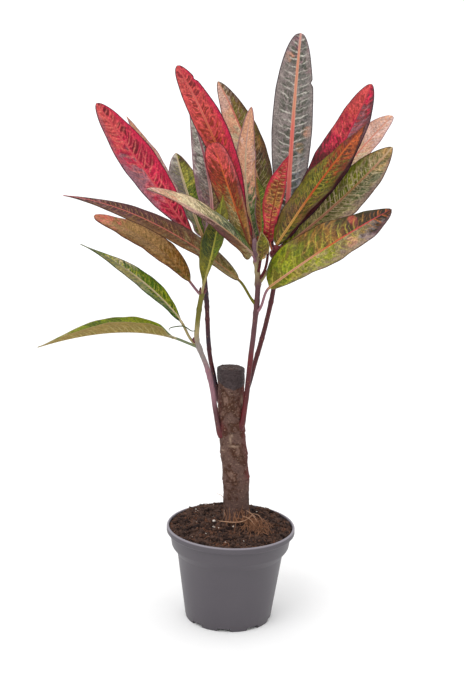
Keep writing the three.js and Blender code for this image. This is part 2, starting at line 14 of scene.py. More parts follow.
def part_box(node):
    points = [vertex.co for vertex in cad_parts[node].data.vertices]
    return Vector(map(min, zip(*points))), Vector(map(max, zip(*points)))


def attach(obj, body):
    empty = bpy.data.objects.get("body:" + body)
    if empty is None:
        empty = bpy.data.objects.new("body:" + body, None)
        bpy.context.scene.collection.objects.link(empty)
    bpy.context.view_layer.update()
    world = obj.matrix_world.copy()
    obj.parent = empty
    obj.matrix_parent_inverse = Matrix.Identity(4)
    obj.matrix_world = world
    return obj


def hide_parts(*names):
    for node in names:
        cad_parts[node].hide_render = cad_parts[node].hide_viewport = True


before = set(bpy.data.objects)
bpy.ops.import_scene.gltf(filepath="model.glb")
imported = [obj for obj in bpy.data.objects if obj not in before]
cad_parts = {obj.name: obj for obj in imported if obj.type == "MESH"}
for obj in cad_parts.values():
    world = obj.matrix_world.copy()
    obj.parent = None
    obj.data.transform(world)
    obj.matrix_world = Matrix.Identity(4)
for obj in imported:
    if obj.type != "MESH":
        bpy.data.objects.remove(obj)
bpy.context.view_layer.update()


def mm(*values):
    """Millimetres as metres: one number, or the coordinates of a point."""
    metres = [value * 0.001 for value in values]
    return metres[0] if len(metres) == 1 else np.array(metres)


# ---------------------------------------------------------------- sizes

POT_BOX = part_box("pot")
POT_HEIGHT = POT_BOX[1].z
POT_RIM_RADIUS = POT_BOX[1].x
POT_LIP_HEIGHT = mm(6.5)
POT_COLLAR_RADIUS = POT_RIM_RADIUS - mm(3)
POT_COLLAR_FOOT_RADIUS = POT_RIM_RADIUS - mm(5)
POT_COLLAR_FOOT_HEIGHT = mm(71)
POT_BODY_RADIUS = mm(49.5)
POT_BODY_HEIGHT = mm(64)
POT_BASE_RADIUS = mm(40.4)
POT_WALL = mm(1.5)
POT_LIP_INNER_RADIUS = POT_RIM_RADIUS - mm(2.2)
DRAIN_COUNT = 9
DRAIN_FIRST_ANGLE = -95  # degrees from +X, so -90 is the front
DRAIN_WIDTH = mm(12)
DRAIN_HEIGHT = mm(3)
DRAIN_DEPTH = mm(9)

SOIL_LEVEL = mm(87.5)  # where the soil meets the wall of the pot
SOIL_MOUND = mm(3.5)  # how far it rises to the middle
SOIL_HEAP = mm(4.5)  # how much higher peat and roots are heaped against the trunk
SOIL_BACK = mm(2.5)  # how much higher the soil lies by the back rim

TRUNK_RADIUS = mm(12.5)
TRUNK_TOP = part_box("trunk")[1].z
TRUNK_ROUNDING = mm(1.2)  # round the sawn top
TRUNK_SHOWN = mm(78)  # where its modelled bark begins, under the soil
TRUNK_MIDDLE = [
    mm(4.6, 0, 45),
    mm(4.6, 0, 106),
    mm(3.2, -1, 138),
    mm(0.4, -2, 164),
    mm(-2.6, -1, 195),
    mm(-4.8, 0, 242),
]
# Old leaf scars ring the bark: the height, how far each stands out, and how tall it is.
TRUNK_RINGS = [
    (mm(137), mm(0.7), mm(5)),
    (mm(161), mm(0.9), mm(5)),
    (mm(184), mm(0.5), mm(4)),
    (mm(199), mm(0.4), mm(4)),
    (mm(240), mm(0.3), mm(5)),
]
WAX_FOOT = mm(227)  # where the wax that seals the sawn top ends
# Marks on the bark: bearing, height, how many degrees wide and how tall.
PALE_MARKS = [
    (-88, mm(171), 22, mm(1.0)),
    (-100, mm(177), 5, mm(4)),
    (-92, mm(181), 5, mm(1.5)),
    (-170, mm(205), 12, mm(6)),
    (-35, mm(213), 8, mm(5)),
    (-140, mm(166), 10, mm(0.9)),
    (120, mm(171), 40, mm(1.0)),
    (40, mm(150), 16, mm(1.2)),
]
RUDDY_MARKS = [
    (-20, mm(200), 26, mm(40)),
    (-18, mm(142), 24, mm(7)),
    (-12, mm(165), 20, mm(20)),
    (-150, mm(188), 26, mm(6)),
    (-165, mm(205), 20, mm(16)),
    (100, mm(190), 40, mm(14)),
]

SEAT_GAP = mm(0.3)
BUD_START = 0.985  # the part of a stem where its bud begins
PETIOLE_RADIUS = mm(1.2)
BLADE_THICKNESS = mm(0.7)
TIP_HALF_WIDTH = mm(0.4)
VALLEY = mm(0.8)  # how softly the two halves of a blade meet
QUILT = mm(0.45)  # how far a blade bulges between its side veins
RIB_HALF_WIDTH = mm(1.1)
RIB_RISE = mm(0.35)  # how far the midrib stands up from the upper side
RIB_KEEL = mm(0.7)  # and down from the lower side
GROOVE_HALF_WIDTH = mm(0.4)  # of the groove along the midrib
GROOVE_DEPTH = mm(0.3)

# ---------------------------------------------------------------- colours

STUDIO_LIGHT = 1.35  # how much brighter than its own colour the studio shows a surface
STUDIO_GLOSS = 0.008  # how much white light its gloss adds to that

# Colours as they look in the studio, red, green and blue from 0 to 255.
COLOURS = {
    "crimson": (204, 42, 76),
    "ruby": (164, 18, 56),
    "coral": (218, 84, 84),
    "salmon": (232, 122, 108),
    "rose": (208, 108, 122),
    "blush": (216, 174, 162),
    "peach": (224, 160, 128),
    "orange": (218, 104, 54),
    "ember": (206, 74, 40),
    "gold": (222, 162, 88),
    "cream": (226, 204, 164),
    "ivory": (214, 208, 196),
    "butter": (186, 178, 72),
    "khaki": (164, 148, 104),
    "straw": (160, 134, 76),
    "tan": (196, 152, 100),
    "ochre": (164, 114, 58),
    "rust": (136, 48, 30),
    "wine": (104, 34, 40),
    "brown": (112, 76, 50),
    "umber": (74, 48, 36),
    "maroon": (84, 26, 36),
    "plum": (94, 58, 62),
    "mauve": (146, 104, 114),
    "slate": (118, 122, 126),
    "stone": (124, 120, 116),
    "taupe": (142, 130, 126),
    "sage": (122, 130, 98),
    "pine": (68, 76, 60),
    "olive": (108, 102, 26),
    "moss": (92, 112, 14),
    "lime": (140, 148, 16),
    "green": (74, 104, 24),
    "forest": (48, 62, 26),
    "shade": (42, 42, 30),
    "ink": (50, 30, 46),
    "bark": (106, 82, 74),
    "clay": (134, 106, 94),
    "lichen": (168, 142, 122),
    "wax": (76, 66, 68),
    "soot": (46, 36, 38),
}


def seen(name):
    """The base colour that shows as the named colour in the studio."""
    shown = [(part / 255) ** 2.2 for part in COLOURS[name]]
    return (*(max(0.002, (light - STUDIO_GLOSS) / STUDIO_LIGHT) for light in shown), 1)


# ---------------------------------------------------------------- the four stems

# Each stem leaves the trunk at a height and a bearing (degrees from +X, so -90 is the front),
# and passes through its points up to the bud at its top.
STEMS = {
    "stem_left_pale": dict(
        slot="stem_pale", radius=mm(2.3), bearing=205, foot=mm(184),
        points=[
            mm(-17.8, -7.8, 205), mm(-20.4, -11, 222), mm(-26, -16, 245), mm(-32, -20, 261),
            mm(-35.5, -22, 271), mm(-35.3, -25, 287), mm(-34, -28, 301), mm(-32.2, -30, 313),
            mm(-31, -31, 319),
        ],
    ),
    "stem_left_dark": dict(
        slot="stem_dark", radius=mm(2.1), bearing=160, foot=mm(214),
        points=[
            mm(-20, 4, 233), mm(-24, -1, 253), mm(-26, -4, 272), mm(-28, -6, 303), mm(-31, -4, 330),
            mm(-33, -2, 350),
        ],
    ),
    "stem_right_front": dict(
        slot="stem_dark", radius=mm(2.4), bearing=-40, foot=mm(192),
        points=[
            mm(9.4, -9.6, 207), mm(11.2, -11, 228), mm(12.6, -12, 250), mm(15.8, -12, 289),
            mm(17.2, -12, 320), mm(15.6, -12, 340), mm(14.2, -12, 353),
        ],
    ),
    "stem_right_back": dict(
        slot="stem_dark", radius=mm(2.2), bearing=30, foot=mm(206),
        points=[
            mm(12.4, 8, 224), mm(18, 10, 247), mm(23.8, 12, 270), mm(30, 14, 300), mm(34, 14, 330),
            mm(35.6, 13, 352),
        ],
    ),
}

# Each stem's colours from its foot to its bud.
STEM_COLOURS = {
    "stem_left_pale": "wine plum plum mauve mauve mauve taupe taupe khaki olive olive olive",
    "stem_left_dark": "maroon ink maroon ink maroon ink maroon plum",
    "stem_right_front": "maroon wine maroon maroon wine plum plum plum plum khaki mauve",
    "stem_right_back": "maroon ink maroon maroon maroon maroon wine ruby",
}

# ---------------------------------------------------------------- the leaves

# A leaf grows from a stem at a part of the stem's length. line is the base, the middle and the
# tip of its midrib, and face is the way that its upper side looks. fold is how far each half
# stands up from flat, and twist how far the blade turns from base to tip, both in degrees.
# widest is where it is widest, a taper over 1 draws that end in, and foot is how wide the blade
# starts, as a part of its full width. skew makes the right half wider than the left one, and
# lean more so at the base than at the tip. wave and curl bend its margin, and slant is how far
# the stalk leans to its stem's tip. A notch has a place along, a side and a depth.
#
# Colours run from the base to the tip. left and right are the two halves, with the right one
# to the right of the midrib where the leaf points up. cell is the colour of the dark cells
# between the side veins, cells how strong they are in each half, and net how clear the fine
# veins round them. veining is how strong all the veins are, spacing how far apart the side
# veins are, and slope how far they lean to the tip. edges are the margins' own zones, and
# edging how strong they are. A patch has a place along and across, its size both ways, a colour
# and a strength. paling is how far the underside's own colour hides the rest.
PLAIN_LEAF = dict(
    fold=14, twist=0, widest=0.5, base_taper=1.25, tip_taper=0.95, foot=0.15, skew=0, lean=0,
    wave=mm(1.2), waves=3, curl=0.1, slant=0.8, notches=(),
    cell="forest", cells=(0.6, 0.6), net=0.6, vein="butter", veining=0.6, slope=0.6, spacing=mm(6),
    edges=("olive", "olive"), edging=(0, 0), rib_width=mm(1.4), groove="umber", margin="umber",
    under="taupe", paling=0.75, stalk="maroon",
    patches=(),
)

LEAVES = {
    "leaf_left_lowest": dict(
        stem="stem_left_pale", at=0.615, slot="leaf_olive",
        line=(mm(-56, -24, 273.5), mm(-110, -34, 279), mm(-174, -45, 266)),
        width=mm(33), face=(0, -0.05, 1), fold=57, widest=0.42, base_taper=0.45, tip_taper=1.2,
        foot=0.3, wave=mm(0.4),
        left="olive olive straw straw straw",
        right="moss lime moss lime khaki",
        cell="moss", cells=(0.5, 0.6),
        midrib="cream khaki khaki", margin="khaki", under="straw", paling=0.55, stalk="sage",
    ),
    "leaf_left_low": dict(
        stem="stem_left_pale", at=0.63, slot="leaf_green",
        line=(mm(-50.5, -23, 289), mm(-90, -18, 325.6), mm(-141, -12, 353)),
        width=mm(22), face=(0.45, -0.6, 0.7), fold=20, twist=-25, widest=0.36, base_taper=0.6,
        tip_taper=1.6, wave=mm(0.4),
        left="forest green sage khaki sage moss",
        right="moss moss lime moss green moss sage cream lime moss sage",
        cell="forest green green moss", cells=(0.2, 0.7), veining=0.85, spacing=mm(5),
        midrib="cream cream cream sage sage", rib_width=mm(1.3), margin="forest", under="sage",
        stalk="khaki",
    ),
    "leaf_left_tan": dict(
        stem="stem_left_dark", at=0.68, slot="leaf_brown",
        line=(mm(-44, -2, 321), mm(-82, -5, 356.5), mm(-129, -14, 378.5)),
        width=mm(26), face=(0.35, -0.65, 0.7), twist=15, widest=0.45, base_taper=0.55, tip_taper=0.4,
        lean=0.3, wave=mm(0.6),
        left="olive ochre tan tan tan salmon",
        right="olive ochre ochre tan tan tan tan salmon salmon",
        cell="brown olive olive ochre", cells=(0.35, 0.45), vein="tan", veining=0.8, spacing=mm(5),
        edges=("brown", "brown"), edging=(0.6, 0.2), midrib="ochre tan tan", rib_width=mm(0.8),
        margin="maroon", under="tan", stalk="mauve",
    ),
    "leaf_left_brown": dict(
        stem="stem_right_front", at=0.7, slot="leaf_brown",
        line=(mm(-0.5, -14, 326), mm(-79, -25, 376.5), mm(-153, -37, 398.5)),
        width=mm(25), face=(0.25, -0.6, 0.8), twist=-12, widest=0.32, base_taper=0.36, tip_taper=1.2,
        lean=0.35, wave=mm(0.5),
        left="khaki khaki brown brown plum plum mauve",
        right="olive khaki brown plum plum plum mauve",
        cell="olive brown umber umber plum", cells=(0.4, 0.6), vein="ochre tan tan", veining=0.45,
        spacing=mm(5),
        edges=("tan", "plum"), edging=(0.2, 0.5), midrib="tan salmon salmon rose", rib_width=mm(0.8),
        stalk="olive",
    ),
    "leaf_pale_stem_front": dict(
        stem="stem_left_pale", at=0.985, slot="leaf_green",
        line=(mm(-30.8, -34.5, 322.5), mm(-22.5, -30, 359), mm(-16, -18, 401)),
        width=mm(20), face=(-0.3, -0.9, 0.1), widest=0.62, base_taper=1.1, tip_taper=1.2, skew=-0.25,
        lean=-0.7,
        left="olive olive forest olive olive",
        right="olive olive moss olive olive",
        cells=(0.55, 0.3), veining=0.25, spacing=mm(4),
        midrib="khaki butter butter lime", rib_width=mm(1.0), margin="olive", under="sage",
        stalk="khaki",
    ),
    "leaf_grey_front": dict(
        stem="stem_right_front", at=0.93, slot="leaf_grey",
        line=(mm(11, -20, 350), mm(-29, -42, 384), mm(-80, -52, 408)),
        width=mm(25), face=(0.35, -0.5, 0.8), fold=22, twist=48, base_taper=0.3, tip_taper=0.5,
        foot=0.35, lean=-0.45, wave=mm(0.5),
        left="khaki brown plum plum blush peach blush",
        right="olive green pine sage khaki cream cream peach blush",
        cell="pine", cells=(0.05, 0.3), net=0.2, vein="cream", veining=0.5, slope=1.6, spacing=mm(3.6),
        midrib="blush tan blush blush cream", rib_width=mm(1.1), stalk="mauve",
    ),
    "leaf_red_left": dict(
        stem="stem_left_dark", at=0.84, slot="leaf_red",
        line=(mm(-38, -6, 357), mm(-81, -4, 412), mm(-128, -10, 476)),
        width=mm(35), face=(0.45, -0.85, 0.3), widest=0.58, tip_taper=0.55, skew=0.02, wave=mm(0.8),
        left="ruby ruby crimson rose mauve crimson coral coral",
        right="ruby ruby crimson crimson crimson crimson crimson coral",
        cell="wine", cells=(0.45, 0.95), vein="salmon", veining=0.65, spacing=mm(8),
        edges=("mauve", "crimson"), edging=(0.5, 0.95), midrib="crimson coral coral coral",
        rib_width=mm(1.2), groove="rose", margin="ink", under="mauve", stalk="khaki",
        patches=((0.56, -0.75, 0.09, 0.5, "mauve", 0.8), (0.86, 0.3, 0.08, 0.5, "coral", 0.5)),
    ),
    "leaf_peach_left": dict(
        stem="stem_left_dark", at=0.93, slot="leaf_peach",
        line=(mm(-40, 3, 359), mm(-73, 16, 414), mm(-104, 18, 464)),
        width=mm(18), face=(0.5, -0.8, 0.3),
        left="olive sage peach peach peach",
        right="tan taupe blush blush peach peach",
        cell="sage", cells=(0.3, 0.4), vein="cream", veining=0.4,
        midrib="peach", margin="mauve", under="blush",
    ),
    "leaf_green_spear": dict(
        stem="stem_left_dark", at=0.96, slot="leaf_green",
        line=(mm(-34, 9, 360), mm(-50, 36, 397), mm(-62, 66, 429)),
        width=mm(30), face=(0.15, -0.8, 0.6), tip_taper=0.7, foot=0.35,
        left="olive sage taupe taupe taupe taupe ivory",
        right="green green moss moss butter olive umber",
        cells=(0.2, 0.6), veining=0.5, spacing=mm(4.5),
        edges=("taupe", "umber"), edging=(0.3, 0.5), midrib="tan cream cream cream", rib_width=mm(1.7),
        margin="mauve", under="slate",
    ),
    "leaf_grey_inner": dict(
        stem="stem_left_dark", at=0.985, slot="leaf_grey",
        line=(mm(-27, 2, 359), mm(-29.5, 24, 409), mm(-50, 46, 473)),
        width=mm(27), face=(0.1, -0.95, 0.2), foot=0.4,
        left="slate slate mauve taupe taupe ivory taupe ivory",
        right="brown tan brown olive tan taupe taupe ivory",
        cell="umber umber forest forest sage", cells=(0.5, 0.75), vein="tan tan ivory ivory",
        veining=0.5, spacing=mm(4.5),
        edges=("mauve", "ochre"), edging=(0.5, 0.4), midrib="rose rose blush rose mauve taupe",
        rib_width=mm(2), margin="mauve",
    ),
    "leaf_red_centre": dict(
        stem="stem_right_front", at=0.96, slot="leaf_red",
        line=(mm(9.5, -7, 358), mm(-22.5, -2, 441), mm(-59, -8, 510)),
        width=mm(27), face=(0.25, -0.95, 0.2), twist=-14, widest=0.6, base_taper=1.2, tip_taper=0.5,
        foot=0.3, skew=0.2, lean=0.25, notches=((0.885, 1, 0.16),),
        left="olive umber rust rust coral coral salmon",
        right="rust ruby crimson crimson coral coral coral",
        cell="olive umber rust rust wine wine", cells=(0.85, 1.0), vein="orange orange coral",
        edges=("coral", "crimson"), edging=(0.4, 0.9), midrib="rust orange orange salmon coral",
        rib_width=mm(1.5), margin="ink", under="mauve",
        patches=((0.82, 0.45, 0.1, 0.6, "coral", 0.75), (0.95, 0.0, 0.06, 1.0, "crimson", 0.5)),
    ),
    "leaf_rust_front": dict(
        stem="stem_right_front", at=0.97, slot="leaf_red",
        line=(mm(9.5, -14.5, 354), mm(-11, -15, 406), mm(-26, -20, 446)),
        width=mm(25), face=(-0.1, -0.98, 0.2), widest=0.62, base_taper=0.65, tip_taper=0.28, foot=0.42,
        skew=-0.08,
        left="olive olive khaki ochre rust rust coral coral",
        right="brown ochre ochre rust rust coral coral coral",
        cell="umber", cells=(0.5, 0.5), net=0.15, vein="ochre ochre ochre orange coral", slope=1.1,
        spacing=mm(3.2),
        edges=("plum", "mauve"), edging=(0.2, 0.3), midrib="brown rust orange orange orange coral",
        rib_width=mm(1.0), margin="maroon", under="mauve", stalk="mauve",
    ),
    "leaf_dark_back": dict(
        stem="stem_right_back", at=0.95, slot="leaf_dark",
        line=(mm(28, 20, 360), mm(7, 36, 432), mm(-24.5, 50, 496)),
        width=mm(33), face=(0.2, -0.95, 0.3), tip_taper=0.65, foot=0.4,
        left="forest pine taupe blush cream peach peach peach",
        right="shade umber olive umber brown olive brown taupe",
        cell="shade olive shade olive brown", cells=(0.1, 0.8), vein="cream", veining=0.4,
        spacing=mm(5),
        edges=("blush", "umber"), edging=(0.3, 0.6), midrib="tan tan peach salmon peach",
        patches=((0.9, -0.5, 0.1, 0.7, "blush", 0.8), (0.55, 0.6, 0.05, 0.4, "ochre", 0.5)),
    ),
    "leaf_peach_narrow": dict(
        stem="stem_right_front", at=0.98, slot="leaf_peach",
        line=(mm(14.5, -1, 356), mm(3, 9, 414), mm(6.5, 16, 476)),
        width=mm(20), face=(0.3, -0.9, 0.2), tip_taper=0.6, foot=0.6,
        left="plum rust tan peach peach peach blush peach peach",
        right="pine forest green sage peach peach blush peach peach salmon",
        cell="sage", cells=(0.0, 0.1), vein="cream", veining=0.4, spacing=mm(4),
        edging=(0.2, 0.3), midrib="mauve tan cream cream blush peach", rib_width=mm(1.3),
        margin="mauve", stalk="mauve",
        patches=((0.88, 0.0, 0.14, 1.0, "peach", 1.0), (0.66, -0.2, 0.12, 0.9, "peach", 0.8)),
    ),
    "leaf_olive_small": dict(
        stem="stem_right_front", at=0.94, slot="leaf_olive",
        line=(mm(19, -3, 355), mm(17, 18, 388), mm(12, 30, 414)),
        width=mm(19), face=(0.3, -0.7, 0.7), foot=0.5,
        left="rust rust brown ochre olive",
        right="forest green moss moss olive",
        cell="umber", cells=(0.3, 0.3), spacing=mm(4),
        midrib="ochre", rib_width=mm(0.9), under="sage",
    ),
    "leaf_crimson_small": dict(
        stem="stem_right_front", at=0.84, slot="leaf_red",
        line=(mm(25, -15, 359), mm(28.5, -38, 402), mm(38, -66, 441)),
        width=mm(17.5), face=(0, -0.8, -0.2), foot=0.55, skew=-0.15,
        left="maroon ruby coral ochre ochre rust coral crimson",
        right="maroon ruby coral ochre ochre rust coral crimson",
        cell="rust rust umber rust rust", cells=(0.85, 0.85), net=0.1, vein="ochre gold gold tan coral",
        veining=0.9, slope=0.25, spacing=mm(5),
        edges=("crimson", "crimson"), edging=(0.6, 0.6), midrib="ruby rust rust crimson",
        rib_width=mm(0.7), margin="ruby", under="mauve",
    ),
    "leaf_grey_tall": dict(
        stem="stem_right_back", at=0.985, slot="leaf_grey",
        line=(mm(42.5, 31, 360), mm(44.5, 44, 454), mm(49, 56, 541)),
        width=mm(38), face=(0, -1, 0.2), twist=10, widest=0.54, base_taper=0.6, tip_taper=0.46,
        foot=0.4, skew=-0.03, lean=0.08, notches=((0.745, 1, 0.12),),
        left="mauve plum taupe taupe taupe taupe taupe taupe mauve",
        right="mauve plum slate taupe stone taupe stone taupe mauve",
        cell="pine", cells=(0.75, 0.8), net=0.0, vein="ivory", veining=0.75, slope=0.3, spacing=mm(7),
        edges=("taupe", "taupe"), edging=(0.6, 0.6),
        midrib="mauve rose salmon salmon salmon peach peach peach blush", rib_width=mm(2.8),
        groove="coral", margin="ink", under="mauve",
        patches=(
            (0.87, -0.55, 0.03, 0.4, "peach", 0.7), (0.5, 0.7, 0.035, 0.3, "peach", 0.7),
            (0.42, 0.35, 0.03, 0.3, "tan", 0.4),
        ),
    ),
    "leaf_red_right": dict(
        stem="stem_right_back", at=0.976, slot="leaf_red",
        line=(mm(34, 4, 358), mm(81, 16, 430.5), mm(111, 10, 499)),
        width=mm(37), face=(-0.4, -0.8, 0.3), base_taper=0.8, tip_taper=0.52, foot=0.45,
        left="ruby maroon maroon maroon wine crimson coral coral coral",
        right="ruby wine maroon plum plum mauve mauve plum crimson",
        cell="umber umber umber wine rust wine", cells=(0.7, 0.5), vein="ruby ruby coral coral",
        veining=0.5, spacing=mm(5.5),
        edges=("wine", "plum"), edging=(0.4, 0.7), midrib="maroon maroon crimson crimson coral",
        rib_width=mm(1.2), margin="ink", under="mauve",
    ),
    "leaf_olive_right": dict(
        stem="stem_right_back", at=0.954, slot="leaf_olive",
        line=(mm(33, -4, 356), mm(69, -1, 413), mm(106, -8, 465)),
        width=mm(30), face=(-0.5, -0.75, 0.4), base_taper=0.5, foot=0.6, lean=-0.5,
        left="olive brown brown olive olive rust rust plum",
        right="olive olive brown olive olive rust orange plum",
        cell="forest forest forest umber wine", cells=(0.7, 0.75),
        vein="butter ochre butter ochre orange", veining=0.65, spacing=mm(5),
        edges=("olive", "umber"), edging=(0.5, 0.4), midrib="gold gold ember ember orange rust",
        rib_width=mm(1.5), groove="green", under="plum",
    ),
    "leaf_gold_right": dict(
        stem="stem_right_front", at=0.815, slot="leaf_green",
        line=(mm(38, 0, 352), mm(91, 16, 397.5), mm(132, 8, 445)),
        width=mm(39), face=(-0.35, -0.9, 0.4), twist=12, tip_taper=0.65, foot=0.42,
        left="lime khaki khaki olive lime khaki tan",
        right="lime moss khaki khaki sage khaki tan",
        cell="forest forest green pine olive", cells=(0.55, 0.55),
        vein="butter butter cream cream cream tan", veining=1.0, spacing=mm(5.5),
        edges=("green", "mauve"), edging=(0.3, 0.5), midrib="peach peach peach tan peach cream",
        rib_width=mm(1.7), groove="rust", stalk="khaki",
    ),
    "leaf_pink_right": dict(
        stem="stem_right_back", at=0.935, slot="leaf_peach",
        line=(mm(45, 20, 358), mm(91, 50, 417), mm(139, 80, 468.5)),
        width=mm(33), face=(-0.4, -0.8, 0.4), twist=-12, tip_taper=0.45, skew=-0.2,
        left="olive tan khaki cream peach blush peach",
        right="olive ochre cream cream cream peach blush blush",
        cell="khaki tan tan blush", cells=(0.2, 0.2), vein="cream ivory", veining=0.5, spacing=mm(4.5),
        edges=("peach", "blush"), edging=(0.3, 0.5), midrib="salmon salmon salmon peach",
        rib_width=mm(1.2), groove="orange", margin="mauve", under="blush",
    ),
    "leaf_green_lower_right": dict(
        stem="stem_right_front", at=0.66, slot="leaf_olive",
        line=(mm(27.5, -18, 320.5), mm(78, -34, 362), mm(128, -46, 396.5)),
        width=mm(42), face=(-0.3, -0.75, 0.55), twist=-16, widest=0.46, base_taper=0.35, tip_taper=0.55,
        skew=-0.08, lean=-0.48,
        left="olive moss lime olive brown ochre brown shade shade shade shade",
        right="olive moss lime khaki lime khaki khaki taupe shade shade",
        cell="olive olive moss brown umber shade", cells=(0.7, 0.6),
        vein="butter butter butter butter ochre orange", veining=0.75, slope=0.4, spacing=mm(8),
        edges=("olive", "mauve"), edging=(0.2, 0.35), midrib="tan peach peach orange coral coral plum",
        rib_width=mm(1.3), groove="rust", under="sage", stalk="mauve",
        patches=(
            (0.72, -0.45, 0.035, 0.5, "coral", 0.6), (0.66, 0.5, 0.05, 0.35, "peach", 0.7),
            (0.2, 0.4, 0.05, 0.4, "tan", 0.4),
        ),
    ),
    "leaf_crown_small": dict(
        stem="stem_right_front", at=0.88, slot="leaf_olive",
        line=(mm(19, -19, 346), mm(20, -24, 357), mm(18, -28, 372)),
        width=mm(12.5), face=(0.2, -1, 0.2), foot=0.6,
        left="brown brown olive brown",
        right="tan brown olive olive",
        cells=(0.5, 0.5), spacing=mm(3.5),
        midrib="olive", rib_width=mm(0.7), margin="khaki", under="sage",
    ),
    "leaf_back_left": dict(
        stem="stem_left_dark", at=0.9, slot="leaf_brown",
        line=(mm(-28, 12, 346), mm(-26, 62, 372), mm(-30, 112, 366)),
        width=mm(28), face=(0, -0.3, 0.9),
        left="olive olive brown ochre coral",
        right="olive brown ochre tan coral",
        cell="umber", vein="tan",
        midrib="tan salmon",
    ),
    "leaf_back_middle": dict(
        stem="stem_right_back", at=0.9, slot="leaf_red",
        line=(mm(30, 24, 346), mm(20, 72, 386), mm(8, 126, 396)),
        width=mm(32), face=(0, -0.5, 0.9), twist=20,
        left="olive rust crimson crimson coral",
        right="olive brown crimson coral coral",
        cell="rust", cells=(0.9, 0.9), vein="orange",
        edges=("crimson", "crimson"), edging=(0.8, 0.8), midrib="orange salmon", margin="ink",
        under="mauve",
    ),
    "leaf_back_right": dict(
        stem="stem_right_back", at=0.85, slot="leaf_green",
        line=(mm(42, 26, 340), mm(62, 70, 372), mm(86, 118, 382)),
        width=mm(30), face=(-0.2, -0.4, 0.9),
        left="moss green moss olive tan",
        right="moss green green forest tan",
        cells=(0.7, 0.7), veining=0.7,
        edges=("pine", "mauve"), edging=(0.4, 0.5), midrib="ochre cream",
    ),
}

# ---------------------------------------------------------------- curves


def unit(vectors):
    """Vectors of length 1, along the last axis."""
    return vectors / np.linalg.norm(vectors, axis=-1, keepdims=True)


def level(bearing):
    """A direction in the level plane, from a bearing in degrees."""
    return np.array([math.cos(math.radians(bearing)), math.sin(math.radians(bearing)), 0])


def around(bearing, radius, height):
    """The point at a bearing, a radius and a height."""
    return level(bearing) * radius + np.array([0, 0, height])


def catmull_rom(points, steps=60):
    """A closely stepped centripetal Catmull-Rom curve through points."""
    ends = [2 * points[0] - points[1], *points, 2 * points[-1] - points[-2]]
    line = []
    for p0, p1, p2, p3 in zip(ends, ends[1:], ends[2:], ends[3:]):
        d0, d1, d2 = (math.sqrt(np.linalg.norm(b - a)) for a, b in ((p0, p1), (p1, p2), (p2, p3)))
        start = ((p1 - p0) / d0 - (p2 - p0) / (d0 + d1) + (p2 - p1) / d1) * d1
        end = ((p2 - p1) / d1 - (p3 - p1) / (d1 + d2) + (p3 - p2) / d2) * d1
        t = np.linspace(0, 1, steps, endpoint=False)[:, None]
        line.append(p1 + start * t + (3 * (p2 - p1) - 2 * start - end) * t**2
                    + (2 * (p1 - p2) + start + end) * t**3)
    return np.vstack([*line, points[-1]])


def resample(line, parts):
    """The points and directions of a line at parts of its length."""
    lengths = np.concatenate([[0], np.cumsum(np.linalg.norm(np.diff(line, axis=0), axis=1))])
    wanted = np.asarray(parts) * lengths[-1]
    points = np.stack([np.interp(wanted, lengths, line[:, axis]) for axis in range(3)], axis=-1)
    slopes = np.gradient(line, lengths, axis=0)
    ways = np.stack([np.interp(wanted, lengths, slopes[:, axis]) for axis in range(3)], axis=-1)
    return points, unit(ways)


def smooth_step(values, low, high):
    """0 below low, 1 above high, and an S between them."""
    t = np.clip((values - low) / (high - low), 0, 1)
    return t * t * (3 - 2 * t)


# ---------------------------------------------------------------- meshes


def mesh_object(name, corners, faces, material):
    """A smooth-shaded mesh object in the frame's own coordinates."""
    mesh = bpy.data.meshes.new(name)
    mesh.from_pydata([tuple(corner) for corner in corners], [], faces)
    mesh.shade_smooth()
    mesh.materials.append(material)
    piece = bpy.data.objects.new(name, mesh)
    bpy.context.scene.collection.objects.link(piece)
    return piece


def wall_faces(rings, sides):
    """The faces between rings of corners."""
    faces = []
    for ring in range(rings - 1):
        for side in range(sides):
            a = ring * sides + side
            b = ring * sides + (side + 1) % sides
            faces.append((a, b, b + sides, a + sides))
    return faces


def ring_faces(rings, sides):
    """The faces of a closed tube through rings of corners, with an end face at each end."""
    last = (rings - 1) * sides
    ends = [tuple(range(sides - 1, -1, -1)), tuple(range(last, last + sides))]
    return wall_faces(rings, sides) + ends


def store(piece, name, values):
    """Keeps a number or a triple for each corner, for the material to read."""
    values = np.asarray(values, np.float32)
    if values.ndim == 1:
        piece.data.attributes.new(name, "FLOAT", "POINT").data.foreach_set("value", values)
    else:
        layer = piece.data.attributes.new(name, "FLOAT_VECTOR", "POINT")
        layer.data.foreach_set("vector", values.ravel())


def tube_rings(line, ways, radii, sides):
    """Rings of corners round a line. radii has a row for each ring."""
    reference = np.array([0, 1, 0]) if abs(ways[0][1]) < 0.9 else np.array([1, 0, 0])
    across = unit(np.cross(reference, ways))
    upward = np.cross(ways, across)
    turn = np.linspace(0, 2 * math.pi, sides, endpoint=False)
    return (line[:, None] + across[:, None] * (np.cos(turn) * radii)[:, :, None]
            + upward[:, None] * (np.sin(turn) * radii)[:, :, None])


# ---------------------------------------------------------------- materials


